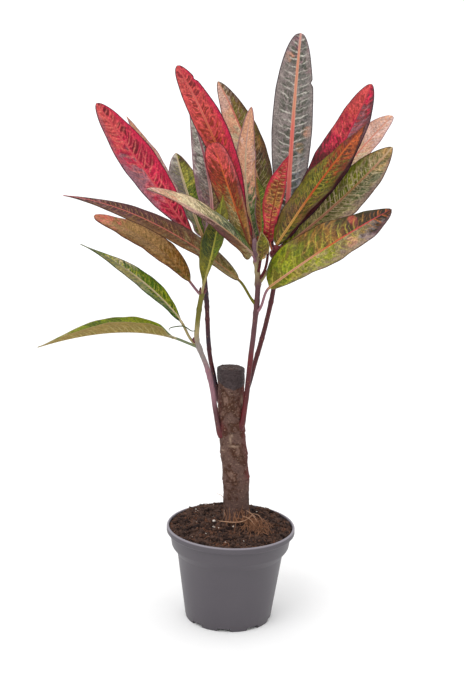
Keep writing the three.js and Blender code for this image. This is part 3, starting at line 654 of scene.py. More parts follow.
class Shader:
    """A material whose nodes are added one by one. Most methods return the socket they make."""

    def __init__(self, name):
        self.material = bpy.data.materials.new(name)
        self.material.use_nodes = True
        self.tree = self.material.node_tree
        self.surface = self.tree.nodes["Principled BSDF"]

    def add(self, kind, inputs=(), **settings):
        node = self.tree.nodes.new(kind)
        for key, value in settings.items():
            setattr(node, key, value)
        for socket, value in dict(inputs).items():
            self.put(node.inputs[socket], value)
        return node

    def put(self, socket, value):
        if isinstance(value, bpy.types.NodeSocket):
            self.tree.links.new(value, socket)
        elif value is not None:
            socket.default_value = value

    def maths(self, operation, *values):
        inputs = dict(enumerate(values))
        return self.add("ShaderNodeMath", inputs, operation=operation).outputs[0]

    def scaled(self, value, factor, added):
        return self.maths("MULTIPLY_ADD", value, factor, added)

    def product(self, first, *others):
        for other in others:
            first = self.maths("MULTIPLY", first, other)
        return first

    def step(self, value, low, high, to_low=0.0, to_high=1.0):
        names = ("Value", "From Min", "From Max", "To Min", "To Max")
        inputs = dict(zip(names, (value, low, high, to_low, to_high)))
        node = self.add("ShaderNodeMapRange", inputs, interpolation_type="SMOOTHSTEP")
        return node.outputs["Result"]

    def between(self, share, first, second):
        """The number that lies a share of the way from first to second."""
        return self.scaled(share, second - first, first)

    def mix(self, share, first, second, blend="MIX"):
        node = self.add("ShaderNodeMix", data_type="RGBA", blend_type=blend)
        self.put(node.inputs[0], share)
        self.put(node.inputs[6], first)
        self.put(node.inputs[7], second)
        return node.outputs[2]

    def attribute(self, name, output="Vector"):
        return self.add("ShaderNodeAttribute", attribute_name=name).outputs[output]

    def split(self, vector):
        return self.add("ShaderNodeSeparateXYZ", {0: vector}).outputs[:3]

    def join(self, x, y, z):
        return self.add("ShaderNodeCombineXYZ", {0: x, 1: y, 2: z}).outputs[0]

    def noise(self, vector, scale, detail=2.0, roughness=0.5, output="Fac"):
        inputs = {"Vector": vector, "Scale": scale, "Detail": detail, "Roughness": roughness}
        return self.add("ShaderNodeTexNoise", inputs).outputs[output]

    def voronoi(self, vector, scale, feature="F1", randomness=1.0, output="Distance", flat=False):
        inputs = {"Vector": vector, "Scale": scale, "Randomness": randomness}
        settings = {"feature": feature, "voronoi_dimensions": "2D" if flat else "3D"}
        return self.add("ShaderNodeTexVoronoi", inputs, **settings).outputs[output]

    def ramp(self, value, names):
        """Named colours at even steps from 0 to 1."""
        names = names.split()
        node = self.add("ShaderNodeValToRGB", {0: value})
        stops = node.color_ramp.elements
        while len(stops) < len(names):
            stops.new(1)
        while len(stops) > len(names):
            stops.remove(stops[-1])
        for index, name in enumerate(names):
            stops[index].position = index / max(1, len(names) - 1)
            stops[index].color = seen(name)
        return node.outputs["Color"]

    def grey(self, value, low, high):
        """A grey from low to high, to lay over a colour."""
        inputs = {"Value": value, "To Min": low, "To Max": high}
        return self.add("ShaderNodeMapRange", inputs).outputs[0]

    def grain(self, colour, value, low, high, share):
        """A colour made darker and lighter by a pattern."""
        return self.mix(share, colour, self.grey(value, low, high), "OVERLAY")

    def place(self):
        return self.add("ShaderNodeTexCoord").outputs["Object"]

    def stretched(self, factor):
        """The place on the object with its height scaled."""
        x, y, z = self.split(self.place())
        return self.join(x, y, self.product(z, factor))

    def bump(self, height, distance, strength=1.0):
        inputs = {"Height": height, "Distance": distance, "Strength": strength}
        return self.add("ShaderNodeBump", inputs).outputs["Normal"]

    def finish(self, colour, roughness, normal=None, **constants):
        self.put(self.surface.inputs["Base Color"], colour)
        self.put(self.surface.inputs["Roughness"], roughness)
        self.put(self.surface.inputs["Normal"], normal)
        for socket, value in constants.items():
            self.surface.inputs[socket.replace("_", " ")].default_value = value
        return self.material


class BladeMap:
    """What a leaf's material reads at a place: where it lies on the blade, and some noise."""

    def __init__(self, shader):
        self.along, self.across, self.under = shader.split(shader.attribute("blade"))
        self.count, self.spread, self.reach = shader.split(shader.attribute("veins"))
        self.rim = shader.attribute("rim", "Fac")
        self.right = shader.step(self.across, -0.02, 0.02)
        self.outward = shader.maths("ABSOLUTE", self.across)
        # Cells and veins lie on a flat sheet: one way it counts side veins, the other way it
        # measures out from the midrib. The right half has a stretch of the sheet to itself.
        self.counted = shader.scaled(self.right, 37.0, self.count)
        sheet = shader.join(self.counted, self.spread, 0.0)
        drift = shader.noise(sheet, 0.9, 3.0, output="Color")
        self.drift_x, self.drift_y, self.drift_z = shader.split(drift)
        self.broad = shader.noise(sheet, 0.45, 3.0, 0.6)
        self.stray = shader.scaled(self.drift_y, 0.85, self.count)
        # Fine speckle: partly the leaf's own small specks, partly painted glints and painted shade of
        # its glossy fine relief.
        self.specks_and_glints = shader.noise(shader.place(), 620.0, 4.0, 0.65)


def patch_share(shader, at, patch, ragged):
    """How strongly a patch covers each place on a blade."""
    place_along, place_across, long, wide, _, strength = patch
    off_along = shader.scaled(at.along, 1 / long, -place_along / long)
    off_across = shader.scaled(at.across, 1 / wide, -place_across / wide)
    far = shader.scaled(off_along, off_along, shader.scaled(off_across, off_across, ragged))
    return shader.step(far, 0.3, 1.1, strength, 0.0)


def leaf_zones(shader, at, leaf):
    """The broad colours of the two halves, with their patches and the margin's own zone."""
    shifted = shader.scaled(shader.maths("SUBTRACT", at.drift_x, 0.5), 0.9, at.along)
    left_zones = shader.ramp(shifted, leaf["left"])
    right_zones = shader.ramp(shifted, leaf["right"])
    blade = shader.mix(at.right, left_zones, right_zones)
    blade = shader.grain(blade, at.broad, -0.4, 1.4, 0.6)
    ragged = shader.scaled(at.drift_z, 3.0, -1.5)
    for patch in leaf["patches"]:
        blade = shader.mix(patch_share(shader, at, patch, ragged), blade, seen(patch[4]))
    zone = shader.step(shader.scaled(at.drift_y, 0.9, at.outward), 1.02, 1.26)
    zone = shader.product(zone, shader.between(at.right, *leaf["edging"]))
    edge_colour = shader.mix(at.right, *(seen(colour) for colour in leaf["edges"]))
    return shader.mix(zone, blade, edge_colour)


def leaf_cells(shader, at, leaf, blade):
    """Adds dark cells between the side veins. Returns the colour and how near a border is."""
    cell_x = shader.scaled(at.drift_y, 1.6, at.counted)
    cell_y = shader.scaled(at.drift_z, 1.6, at.spread)
    cells = shader.join(cell_x, cell_y, 0.0)
    border = shader.voronoi(cells, 1.0, "DISTANCE_TO_EDGE", 0.75, flat=True)
    chance = shader.split(shader.voronoi(cells, 1.0, "F1", 0.75, "Color", flat=True))[0]
    inside = shader.step(border, 0.05, 0.2)
    # They fade out at the midrib and grow weaker towards the margin.
    band = shader.product(shader.step(at.outward, 0.03, 0.14),
                          shader.step(at.outward, 0.5, 0.9, 1.0, 0.12))
    dark = shader.product(inside, band, shader.step(chance, 0.05, 0.6, 0.4, 0.9),
                          shader.between(at.right, *leaf["cells"]))
    return shader.mix(dark, blade, shader.ramp(at.along, leaf["cell"])), border


def leaf_veins(shader, at, leaf, blade, border):
    """Adds the side veins, the net round the cells, fine nerves, and a fine speckle that is partly
    painted glints. Returns the veins too.
    """
    line = shader.step(shader.maths("PINGPONG", at.stray, 0.5), 0.0, 0.17, 1.0, 0.0)
    net = shader.step(border, 0.0, 0.12, leaf["net"], 0.0)
    fade = shader.step(at.outward, 0.4, 0.92, 1.0, 0.08)
    vein = shader.product(shader.maths("MAXIMUM", line, net), fade,
                          shader.step(at.drift_z, 0.36, 0.56, 0.3, 1.0))
    vein_colour = shader.ramp(at.along, leaf["vein"])
    blade = shader.mix(shader.product(vein, leaf["veining"]), blade, vein_colour)
    nerves = shader.maths("PINGPONG", shader.product(at.stray, 5.0), 0.5)
    blade = shader.grain(blade, shader.product(nerves, 2.0), 0.62, 0.4, 0.35)
    # A strong light and dark speckle over the colour: partly the leaf's own specks, partly painted
    # glints and painted shade.
    return shader.grain(blade, at.specks_and_glints, -0.5, 1.5, 0.7), vein


def leaf_rib(shader, at, leaf, blade):
    """Adds the thin dark outline, and the midrib, a bright band with a darker middle."""
    blade = shader.mix(shader.step(at.rim, 0.0004, 0.0013, 0.9, 0.0), blade, seen(leaf["margin"]))
    thick = shader.scaled(at.along, -0.62 * leaf["rib_width"], leaf["rib_width"])
    wavy = shader.scaled(at.drift_x, 0.5, -0.25)
    far = shader.maths("ADD", shader.maths("DIVIDE", at.reach, thick), wavy)
    rib = shader.step(far, 0.7, 1.1, 0.95, 0.0)
    blade = shader.mix(rib, blade, shader.ramp(at.along, leaf["midrib"]))
    groove = shader.step(far, 0.05, 0.4, 0.5, 0.0)
    return shader.mix(groove, blade, seen(leaf["groove"]))


def leaf_material(name, leaf):
    """A croton leaf: coloured zones, cells, veins and midrib, a dull underside and a stalk."""
    shader = Shader(name)
    at = BladeMap(shader)
    blade = leaf_zones(shader, at, leaf)
    blade, border = leaf_cells(shader, at, leaf, blade)
    blade, vein = leaf_veins(shader, at, leaf, blade, border)
    blade = leaf_rib(shader, at, leaf, blade)
    paler = shader.mix(shader.product(vein, 0.5), seen(leaf["under"]), seen("cream"))
    blade = shader.mix(shader.product(at.under, leaf["paling"]), blade, paler)
    stalk = shader.grain(seen(leaf["stalk"]), at.specks_and_glints, 0.2, 0.8, 0.6)
    blade = shader.mix(shader.step(at.along, -0.02, 0.015, 1.0, 0.0), blade, stalk)
    relief = shader.maths("ADD", shader.product(vein, -0.6), shader.product(at.specks_and_glints, 0.4))
    roughness = shader.step(at.under, 0.3, 0.7, 0.42, 0.6)
    return shader.finish(blade, roughness, shader.bump(relief, 0.0004, 0.6),
                         Specular_IOR_Level=0.2, Coat_Weight=0.04, Coat_Roughness=0.25)


def stem_material(name, colours):
    """Young bark: smooth, streaked lengthways, with pale pores."""
    shader = Shader(name)
    along = shader.attribute("along", "Fac")
    streaks = shader.noise(shader.stretched(0.12), 900.0, 3.0)
    blotches = shader.noise(shader.stretched(0.4), 160.0, 3.0)
    shifted = shader.scaled(blotches, 0.1, shader.maths("ADD", along, -0.05))
    colour = shader.ramp(shifted, colours)
    colour = shader.grain(colour, streaks, 0.12, 0.88, 0.7)
    pores = shader.voronoi(shader.stretched(0.5), 420.0)
    colour = shader.mix(shader.step(pores, 0.08, 0.2, 0.4, 0.0), colour, seen("tan"))
    height = shader.maths("SUBTRACT", streaks, pores)
    return shader.finish(colour, 0.5, shader.bump(height, 0.0002, 0.4), Specular_IOR_Level=0.4)


def bark_material():
    """Grey-brown bark: fine grain, pale flecks, scars, a mauve side, and wax over the top."""
    shader = Shader("bark")
    wax, scar, ruddy = shader.split(shader.attribute("bark"))
    patches = shader.noise(shader.place(), 75.0, 4.0, 0.6)
    grain = shader.noise(shader.stretched(1.5), 420.0, 5.0, 0.75)
    fine = shader.noise(shader.stretched(0.6), 1300.0, 3.0, 0.6)
    colour = shader.ramp(shader.step(patches, 0.3, 0.7), "bark bark umber clay")
    colour = shader.mix(shader.product(ruddy, 0.75), colour, seen("wine"))
    colour = shader.grain(colour, grain, 0.05, 0.95, 1.0)
    colour = shader.grain(colour, fine, 0.15, 0.85, 0.8)
    pores = shader.voronoi(shader.stretched(1.7), 260.0)
    pore = shader.step(pores, 0.12, 0.26, 0.45, 0.0)
    pale = shader.maths("MAXIMUM", pore, shader.product(scar, 0.8))
    colour = shader.mix(pale, colour, seen("lichen"))
    pitted = shader.voronoi(shader.place(), 520.0)
    colour = shader.mix(shader.step(pitted, 0.1, 0.3, 0.5, 0.0), colour, seen("soot"))
    height_above = shader.split(shader.place())[2]
    # The bark is made darker low down: fully over the first 20 mm above the soil, fading out by 50 mm
    # above it.
    darker_near_soil = shader.step(height_above, SOIL_LEVEL + mm(20), SOIL_LEVEL + mm(50), 0.3, 0.0)
    colour = shader.mix(darker_near_soil, colour, seen("soot"))
    waxed = shader.mix(shader.step(grain, 0.35, 0.65), seen("soot"), seen("wax"))
    colour = shader.mix(shader.product(wax, 0.9), colour, waxed)
    height = shader.maths("SUBTRACT", grain, shader.product(pores, 0.5))
    roughness = shader.step(wax, 0.0, 1.0, 0.9, 0.6)
    return shader.finish(colour, roughness, shader.bump(height, 0.0008, 0.7),
                         Specular_IOR_Level=0.3)


def pot_material():
    """Grey moulded plastic: an even matt skin with a soft sheen and faint scuffs, and a painted
    highlight along the rim's top edge.
    """
    shader = Shader("pot_plastic")
    cloud = shader.noise(shader.place(), 26.0, 3.0)
    skin = shader.noise(shader.place(), 1600.0, 2.0)
    grey = shader.mix(cloud, (0.057, 0.049, 0.059, 1), (0.072, 0.063, 0.074, 1))
    scuffs = shader.noise(shader.stretched(6.0), 160.0, 4.0, 0.7)
    grey = shader.mix(shader.step(scuffs, 0.62, 0.8, 0.0, 0.3), grey, (0.16, 0.145, 0.165, 1))
    height = shader.split(shader.place())[2]
    # Painted highlight: the rim's top edge is made lighter, where light would catch it.
    painted_rim_highlight = shader.step(height, POT_HEIGHT - mm(1.6), POT_HEIGHT - mm(0.5), 0.0, 0.75)
    grey = shader.mix(painted_rim_highlight, grey, (0.26, 0.235, 0.27, 1))
    roughness = shader.grey(cloud, 0.42, 0.52)
    return shader.finish(grey, roughness, shader.bump(skin, 0.0001, 0.3))


def soil_material(name, dark, light, scale=420.0):
    """Crumbly peat, from a dark to a lighter brown."""
    shader = Shader(name)
    patches = shader.noise(shader.place(), 110.0, 4.0, 0.6)
    grain = shader.noise(shader.place(), scale, 5.0, 0.75)
    colour = shader.mix(shader.step(patches, 0.35, 0.65), dark, light)
    colour = shader.grain(colour, grain, 0.0, 1.0, 0.9)
    return shader.finish(colour, 0.95, shader.bump(grain, 0.001, 0.8), Specular_IOR_Level=0.2)


def plain_material(name, colour, roughness, scale=900.0):
    """One colour broken up by fine grain."""
    shader = Shader(name)
    grain = shader.noise(shader.place(), scale, 3.0)
    mixed = shader.grain(colour, grain, 0.15, 0.85, 0.6)
    return shader.finish(mixed, roughness, shader.bump(grain, 0.0002, 0.4), Specular_IOR_Level=0.3)


# ---------------------------------------------------------------- trunk and stems


def trunk_middle(heights):
    """The trunk's middle at some heights, as its source has it."""
    middle = np.array(TRUNK_MIDDLE)
    each = [np.interp(heights, middle[:, 2], middle[:, axis]) for axis in range(3)]
    return np.stack(each, axis=-1)


def trunk_radius(heights, bearing):
    """The trunk's radius at heights and a bearing, with its scars and slight hollows."""
    radius = np.full(np.shape(heights), TRUNK_RADIUS - mm(0.5))
    for height, bulge, spread in TRUNK_RINGS:
        radius = radius + bulge * np.exp(-(((heights - height) / spread) ** 2))
    above = np.clip((heights - SOIL_LEVEL) / mm(30), 0, 1)
    return radius + above * mm(0.25) * np.sin(np.radians(3 * bearing) + heights / mm(17))


def stem_line(stem):
    """The middle line of a stem's plain solid: square out of the trunk, then up its points."""
    outward = level(stem["bearing"])
    seat = trunk_radius(stem["foot"], stem["bearing"]) + SEAT_GAP + 0.6 * stem["radius"]
    foot = trunk_middle(stem["foot"]) + outward * seat
    knee = foot + outward * stem["radius"] + np.array([0, 0, 0.6 * stem["radius"]])
    return catmull_rom([foot, knee, *stem["points"]])


def grown_line(stem):
    """The same line with a foot that grows slantwise out of the trunk's bark."""
    outward = level(stem["bearing"])
    bark = trunk_radius(stem["foot"], stem["bearing"])
    sunk = trunk_middle(stem["foot"]) + outward * (bark - mm(2.2)) - np.array([0, 0, mm(6)])
    emerging = trunk_middle(stem["foot"]) + outward * (bark + 0.2 * stem["radius"])
    return catmull_rom([sunk, emerging, *stem["points"]])


def fractal(point, scale, octaves=4):
    """Layered noise at a point."""
    return noise.fractal(Vector(point) * scale, 1.0, 2.0, octaves, noise_basis="PERLIN_ORIGINAL")


def marked(marks, bearing, height):
    """How strongly the strongest of some marks shows on the bark at a place."""
    strongest = 0.0
    for mark_bearing, mark_height, wide, tall in marks:
        turn = (bearing - mark_bearing + 180) % 360 - 180
        near = math.exp(-((turn / wide) ** 2) - ((height - mark_height) / tall) ** 2)
        strongest = max(strongest, near)
    return strongest


def bark_radius(bearing, height):
    """The trunk's rough radius at a place, with how waxed, scarred and ruddy it is there."""
    spot = around(bearing, TRUNK_RADIUS, height)
    radius = float(trunk_radius(height, bearing))
    radius += mm(0.35) * fractal(spot, 110) + mm(0.3) * fractal(spot, 420, 3)
    for ring, _, _ in TRUNK_RINGS[:4]:
        wander = ring + mm(1.4) * math.sin(math.radians(bearing) + 60 * ring)
        radius -= mm(0.55) * math.exp(-(((height - wander + mm(1.5)) / mm(0.8)) ** 2))
        radius += mm(0.3) * math.exp(-(((height - wander - mm(0.3)) / mm(0.8)) ** 2))
    pale = marked(PALE_MARKS, bearing, height)
    ruddy = marked(RUDDY_MARKS, bearing, height)
    radius += mm(0.5) * pale
    ribs = 0.5 + 0.5 * math.sin(math.radians(5 * bearing))
    radius += mm(1.6) * math.exp(-(height - mm(92)) / mm(5)) * ribs
    edge = WAX_FOOT + mm(2.4) * math.sin(math.radians(2 * bearing) + 1)
    edge += mm(3) * fractal(spot, 90, 2)
    wax = float(smooth_step(height, edge - mm(0.7), edge + mm(0.7)))
    radius += mm(0.4) * wax
    rounding = max(0.0, height - (TRUNK_TOP - TRUNK_ROUNDING))
    radius -= TRUNK_ROUNDING - math.sqrt(max(0.0, TRUNK_ROUNDING**2 - rounding**2))
    return radius, (wax, pale, ruddy)


def make_trunk(material):
    """The trunk: rough bark with ring scars, a root flare, and a wax cap over the sawn top."""
    sides, rows, sawn_rings = 140, 330, 16
    heights = np.linspace(TRUNK_SHOWN, TRUNK_TOP, rows)
    middles = trunk_middle(heights)
    # The middle line's bends are softened over this many rows on each side.
    soft_rows = 15
    window = np.hanning(2 * soft_rows + 1) / np.hanning(2 * soft_rows + 1).sum()
    for axis in range(2):
        padded = np.pad(middles[:, axis], soft_rows, mode="edge")
        middles[:, axis] = np.convolve(padded, window, mode="valid")
    corners, bark = [], []
    for height, middle in zip(heights, middles):
        for side in range(sides):
            bearing = 360 * side / sides
            radius, marks = bark_radius(bearing, height)
            corners.append(middle + level(bearing) * radius)
            bark.append(marks)
    # The sawn face: rings of corners drawn in to the middle, dished and pitted.
    last = (rows - 1) * sides
    for ring in range(1, sawn_rings + 1):
        share = 1 - ring / (sawn_rings + 0.5)
        for side in range(sides):
            corner = middles[-1] + (corners[last + side] - middles[-1]) * share
            lift = mm(0.25) * math.sin(ring * 2.2) + mm(0.9) * fractal(corner, 200, 3)
            corners.append(corner + np.array([0, 0, lift - mm(0.9) * (1 - share)]))
            bark.append((0.75, 0.35 * (ring % 3 == 0), 0))
    piece = mesh_object("trunk_bark", corners, ring_faces(rows + sawn_rings, sides), material)
    store(piece, "bark", bark)
    return piece


def make_stem(name, stem, material):
    """A young stem with swollen nodes where leaves grow or have dropped, and a bud at its tip."""
    rows, sides = 240, 20
    rng = random.Random(name)
    parts = np.linspace(0, 1, rows)
    middle, ways = resample(grown_line(stem), parts)
    radii = np.full(rows, stem["radius"])
    radii *= 1 + 0.45 * np.exp(-((parts / 0.06) ** 2))
    nodes = [leaf["at"] for leaf in LEAVES.values() if leaf["stem"] == name]
    nodes += [rng.uniform(0.3, 0.95) for _ in range(5)]
    for node in nodes:
        radii *= 1 + 0.14 * np.exp(-(((parts - node) / 0.012) ** 2))
    bud = np.clip((parts - BUD_START) / (1.0005 - BUD_START), 0, 1)
    radii *= np.sqrt(1 - bud**2)
    turn = np.linspace(0, 2 * math.pi, sides, endpoint=False)
    rough = np.array([[fractal((math.cos(a), math.sin(a), part * 14), 1.6, 3) for a in turn]
                      for part in parts])
    rings = tube_rings(middle, ways, radii[:, None] * (1 + 0.06 * rough), sides)
    piece = mesh_object(name + "_bark", rings.reshape(-1, 3), ring_faces(rows, sides), material)
    store(piece, "along", np.repeat(parts, sides))
    return piece


# ---------------------------------------------------------------- leaves

PETIOLE_ROWS = 16
BLADE_ROWS = 130
COLUMNS = 37


def petiole_curve(leaf, base, way):
    """The stalk's points and directions: slantwise out of its stem, round into the midrib."""
    stem = STEMS[leaf["stem"]]
    points, ways = resample(stem_line(stem), [leaf["at"]])
    root, stemway = points[0], ways[0]
    outward = base - root
    outward = unit(outward - stemway * outward.dot(stemway))
    start = root + outward * 0.5 * stem["radius"]
    reach = np.linalg.norm(base - start) / 3
    leaving = start + unit(outward + leaf["slant"] * stemway) * reach
    arriving = base - way * reach
    t = np.linspace(0, 1, PETIOLE_ROWS, endpoint=False)[:, None]
    s = 1 - t
    points = s**3 * start + 3 * s * s * t * leaving + 3 * s * t * t * arriving + t**3 * base
    ways = s * s * (leaving - start) + 2 * s * t * (arriving - leaving) + t * t * (base - arriving)
    return points, unit(ways)


def fullness(leaf, along):
    """How full the blade is along its length: 0 at both ends and 1 where it is widest."""
    widest = leaf["widest"]
    rise = np.where(along < widest, along / widest, (1 - along) / (1 - widest))
    taper = np.where(along < widest, leaf["base_taper"], leaf["tip_taper"])
    rounded = leaf["foot"] * np.sqrt(np.clip(along * 14, 0, 1)) * (along < widest)
    return np.maximum(np.sin(math.pi / 2 * np.clip(rise, 0, 1)) ** taper, rounded)


def turn_about(vectors, axes, angles):
    """Vectors turned about unit axes that they are square to."""
    return vectors * np.cos(angles)[:, None] + np.cross(axes, vectors) * np.sin(angles)[:, None]


def leaf_frame(leaf):
    """The middle line from the stem to the tip, with each row's place along, side and face."""
    base, mid, tip = leaf["line"]
    control = 2 * mid - (base + tip) / 2
    t = np.linspace(0, 1, BLADE_ROWS)[:, None]
    blade = (1 - t) ** 2 * base + 2 * t * (1 - t) * control + t * t * tip
    blade_ways = unit((1 - t) * (control - base) + t * (tip - control))
    stalk, stalk_ways = petiole_curve(leaf, base, blade_ways[0])
    ways = np.vstack([stalk_ways, blade_ways])
    along = np.concatenate([np.zeros(PETIOLE_ROWS), t[:, 0]])
    face = unit(np.array(leaf["face"], float))
    faces_up = unit(face - ways * (ways @ face)[:, None])
    faces_up = turn_about(faces_up, ways, np.radians(leaf["twist"]) * (along - 0.5))
    return np.vstack([stalk, blade]), along, np.cross(ways, faces_up), faces_up


def leaf_widths(leaf, along, stalk, across, seed):
    """How wide each half is at each row and column, with the bare stalk's width and fullness."""
    tip_half = TIP_HALF_WIDTH + (PETIOLE_RADIUS - TIP_HALF_WIDTH) * (1 - along) ** 3
    ending = ((along - 0.985) / 0.0155).clip(0)
    tip_half = tip_half * np.sqrt(np.clip(1 - ending**2, 0, 1))
    tip_half = tip_half * (1 + 0.35 * np.exp(-((stalk / 0.16) ** 2)))
    full = fullness(leaf, along)
    skew = leaf["skew"] + leaf["lean"] * (1 - 2 * along[:, None])
    even = (leaf["width"] / 2 * full)[:, None]
    half = np.maximum(tip_half[:, None], even * (1 + skew * across))
    jag = np.array([[fractal((part * 9, side * 5, seed), 1, 3) for side in (-1, 1)]
                    for part in along])
    jag = np.where(across < 0, jag[:, :1], jag[:, 1:])
    half = half * (1 + 0.02 * jag * full[:, None])
    for where, side, depth in leaf["notches"]:
        dent = depth * np.exp(-(((along - where) / 0.012) ** 2))
        half = half * (1 - dent[:, None] * (np.sign(across) == side))
    return half, tip_half, full


def blade_height(leaf, along, across, reach, full, opened, shake):
    """How high the blade's middle sheet stands at each place: its fold, waves and curl."""
    phase = 2 * math.pi * (leaf["waves"] * along[:, None] + 0.3 * np.sign(across))
    ripple = leaf["wave"] * (np.sin(phase) + 0.35 * np.sin(2.3 * phase + shake)) * across**2
    rise = (np.hypot(reach, VALLEY) - VALLEY) * np.sin(math.radians(leaf["fold"]) * opened)
    return rise + ripple * full[:, None] * opened - leaf["curl"] * reach * across**2


def vein_count(leaf, middle, across, reach, first):
    """The count of side veins passed, which their relief and their colour both read."""
    run = np.concatenate([[0], np.cumsum(np.linalg.norm(np.diff(middle, axis=0), axis=1))])
    run = run - run[PETIOLE_ROWS]
    back = leaf["slope"] * reach * (1 + 0.6 * across**2)
    return (run[:, None] - back) / leaf["spacing"] + 0.5 * (across > 0) + first


def blade_relief(count, along, across, reach, full, opened):
    """How high the quilting stands, and how full the midrib and its groove are, at each place."""
    band = smooth_step(np.abs(across), 0.03, 0.2) * (1 - smooth_step(np.abs(across), 0.8, 1))
    quilt = QUILT * (np.abs(np.sin(math.pi * count)) - 0.5) * band * full[:, None] * opened
    fading = (1 - 0.7 * along[:, None]) * opened
    rib = np.exp(-((reach / RIB_HALF_WIDTH) ** 2)) * fading
    groove = np.exp(-((reach / GROOVE_HALF_WIDTH) ** 2)) * fading
    return quilt, rib, groove


def round_ring(above, below):
    """A grid for the whole ring of corners: the upper side, then the lower one back."""
    return np.concatenate([above, below[:, -2:0:-1]], axis=1)


def make_leaf(name, leaf, material):
    """A leaf with its stalk: a thin closed sheet with a rounded margin, quilted by its veins."""
    rng = random.Random(name)
    middle, along, sides, faces_up = leaf_frame(leaf)
    rows = len(middle)
    stalk = np.concatenate([np.linspace(0, 1, PETIOLE_ROWS), np.ones(BLADE_ROWS)])
    opened = np.clip(along * 8, 0, 1)[:, None]
    u = np.linspace(-1, 1, COLUMNS)
    across = np.sign(u) * np.sin(math.pi / 2 * np.abs(u)) ** 1.3
    half, tip_half, full = leaf_widths(leaf, along, stalk, across, len(name))
    reach = half * np.abs(across)
    height = blade_height(leaf, along, across, reach, full, opened, rng.uniform(0, 6))
    count = vein_count(leaf, middle, across, reach, rng.randrange(200))
    quilt, rib, groove = blade_relief(count, along, across, reach, full, opened)

    edge = np.sqrt(np.clip(1 - np.abs(across) ** 6, 0, 1))
    tube = tip_half[:, None] * np.sqrt(np.clip(1 - across**2, 0, 1))
    thick = tube * (1 - opened) + BLADE_THICKNESS / 2 * edge * opened
    level_reach = np.sign(across) * reach * np.cos(math.radians(leaf["fold"]) * opened)
    flat = middle[:, None] + sides[:, None] * level_reach[:, :, None]
    raised = height + quilt + thick + RIB_RISE * rib - GROOVE_DEPTH * groove
    lowered = height + quilt - thick - RIB_KEEL * rib
    upper = flat + faces_up[:, None] * raised[:, :, None]
    lower = flat + faces_up[:, None] * lowered[:, :, None]

    def whole(values):
        grid = np.broadcast_to(values, (rows, COLUMNS))
        return round_ring(grid, grid).ravel()

    ring = round_ring(upper, lower)
    faces = ring_faces(rows, ring.shape[1])
    piece = mesh_object(name + "_blade", ring.reshape(-1, 3), faces, material)
    shown = np.where(stalk < 1, -0.25 * (1 - stalk), along)[:, None]
    under = round_ring(np.zeros((rows, COLUMNS)), np.ones((rows, COLUMNS))).ravel()
    store(piece, "blade", np.stack([whole(shown), whole(across), under], axis=-1))
    veins = [whole(count), whole(reach / leaf["spacing"]), whole(reach)]
    store(piece, "veins", np.stack(veins, axis=-1))
    store(piece, "rim", whole(half - reach))
    return piece


# ---------------------------------------------------------------- pot


def pot_profile():
    """The pot's outline as radius and height: from its hollow foot, round the rim, to its floor."""
    lip_foot = POT_HEIGHT - POT_LIP_HEIGHT
    slope = (POT_BODY_RADIUS - POT_BASE_RADIUS) / POT_BODY_HEIGHT
    inner_base = POT_BASE_RADIUS - POT_WALL
    soft = mm(0.8)
    return [
        (0, mm(1.2)),
        (POT_BASE_RADIUS - mm(9), mm(1.2)),
        (POT_BASE_RADIUS - mm(8), 0),
        (POT_BASE_RADIUS - soft, 0),
        (POT_BASE_RADIUS - soft * 0.3, soft * 0.3),
        (POT_BASE_RADIUS + slope * soft, soft),
        (POT_BASE_RADIUS + slope * mm(20), mm(20)),
        (POT_BASE_RADIUS + slope * mm(42), mm(42)),
        (POT_BODY_RADIUS - slope * soft, POT_BODY_HEIGHT - soft),
        (POT_BODY_RADIUS + soft * 0.6, POT_BODY_HEIGHT + soft * 0.6),
        (POT_COLLAR_FOOT_RADIUS - soft, POT_COLLAR_FOOT_HEIGHT - soft),
        (POT_COLLAR_FOOT_RADIUS, POT_COLLAR_FOOT_HEIGHT + soft),
        (POT_COLLAR_RADIUS - mm(0.2), lip_foot - soft),
        (POT_COLLAR_RADIUS, lip_foot),
        (POT_RIM_RADIUS - soft, lip_foot + mm(0.4)),
        (POT_RIM_RADIUS, lip_foot + mm(1.4)),
        (POT_RIM_RADIUS, POT_HEIGHT - mm(1.2)),
        (POT_RIM_RADIUS - mm(0.5), POT_HEIGHT - mm(0.3)),
        (POT_RIM_RADIUS - mm(1.4), POT_HEIGHT),
        (POT_LIP_INNER_RADIUS + mm(0.4), POT_HEIGHT - mm(0.1)),
        (POT_LIP_INNER_RADIUS, POT_HEIGHT - mm(0.7)),
        (POT_LIP_INNER_RADIUS, lip_foot + mm(2)),
        (POT_COLLAR_RADIUS - POT_WALL, lip_foot),
        (POT_COLLAR_FOOT_RADIUS - POT_WALL, POT_COLLAR_FOOT_HEIGHT + mm(1)),
        (inner_base + slope * POT_BODY_HEIGHT, POT_BODY_HEIGHT + mm(1)),
        (inner_base + slope * POT_WALL, POT_WALL),
        (0, POT_WALL + mm(0.6)),
    ]


def make_pot(material):
    """The pot, turned with many sides, with soft edges, a hollow foot and drain notches."""
    profile = pot_profile()
    sides = 180
    corners = []
    for radius, height in profile[1:-1]:
        for side in range(sides):
            corners.append(around(360 * side / sides, radius, height))
    faces = wall_faces(len(profile) - 2, sides)
    low, high = len(corners), len(corners) + 1
    corners += [np.array([0, 0, profile[0][1]]), np.array([0, 0, profile[-1][1]])]
    last = (len(profile) - 3) * sides
    for side in range(sides):
        after = (side + 1) % sides
        faces.append((low, after, side))
        faces.append((high, last + side, last + after))
    pot = mesh_object("pot_moulding", corners, faces, material)
    cut_away(pot, drain_cutters())
    return pot


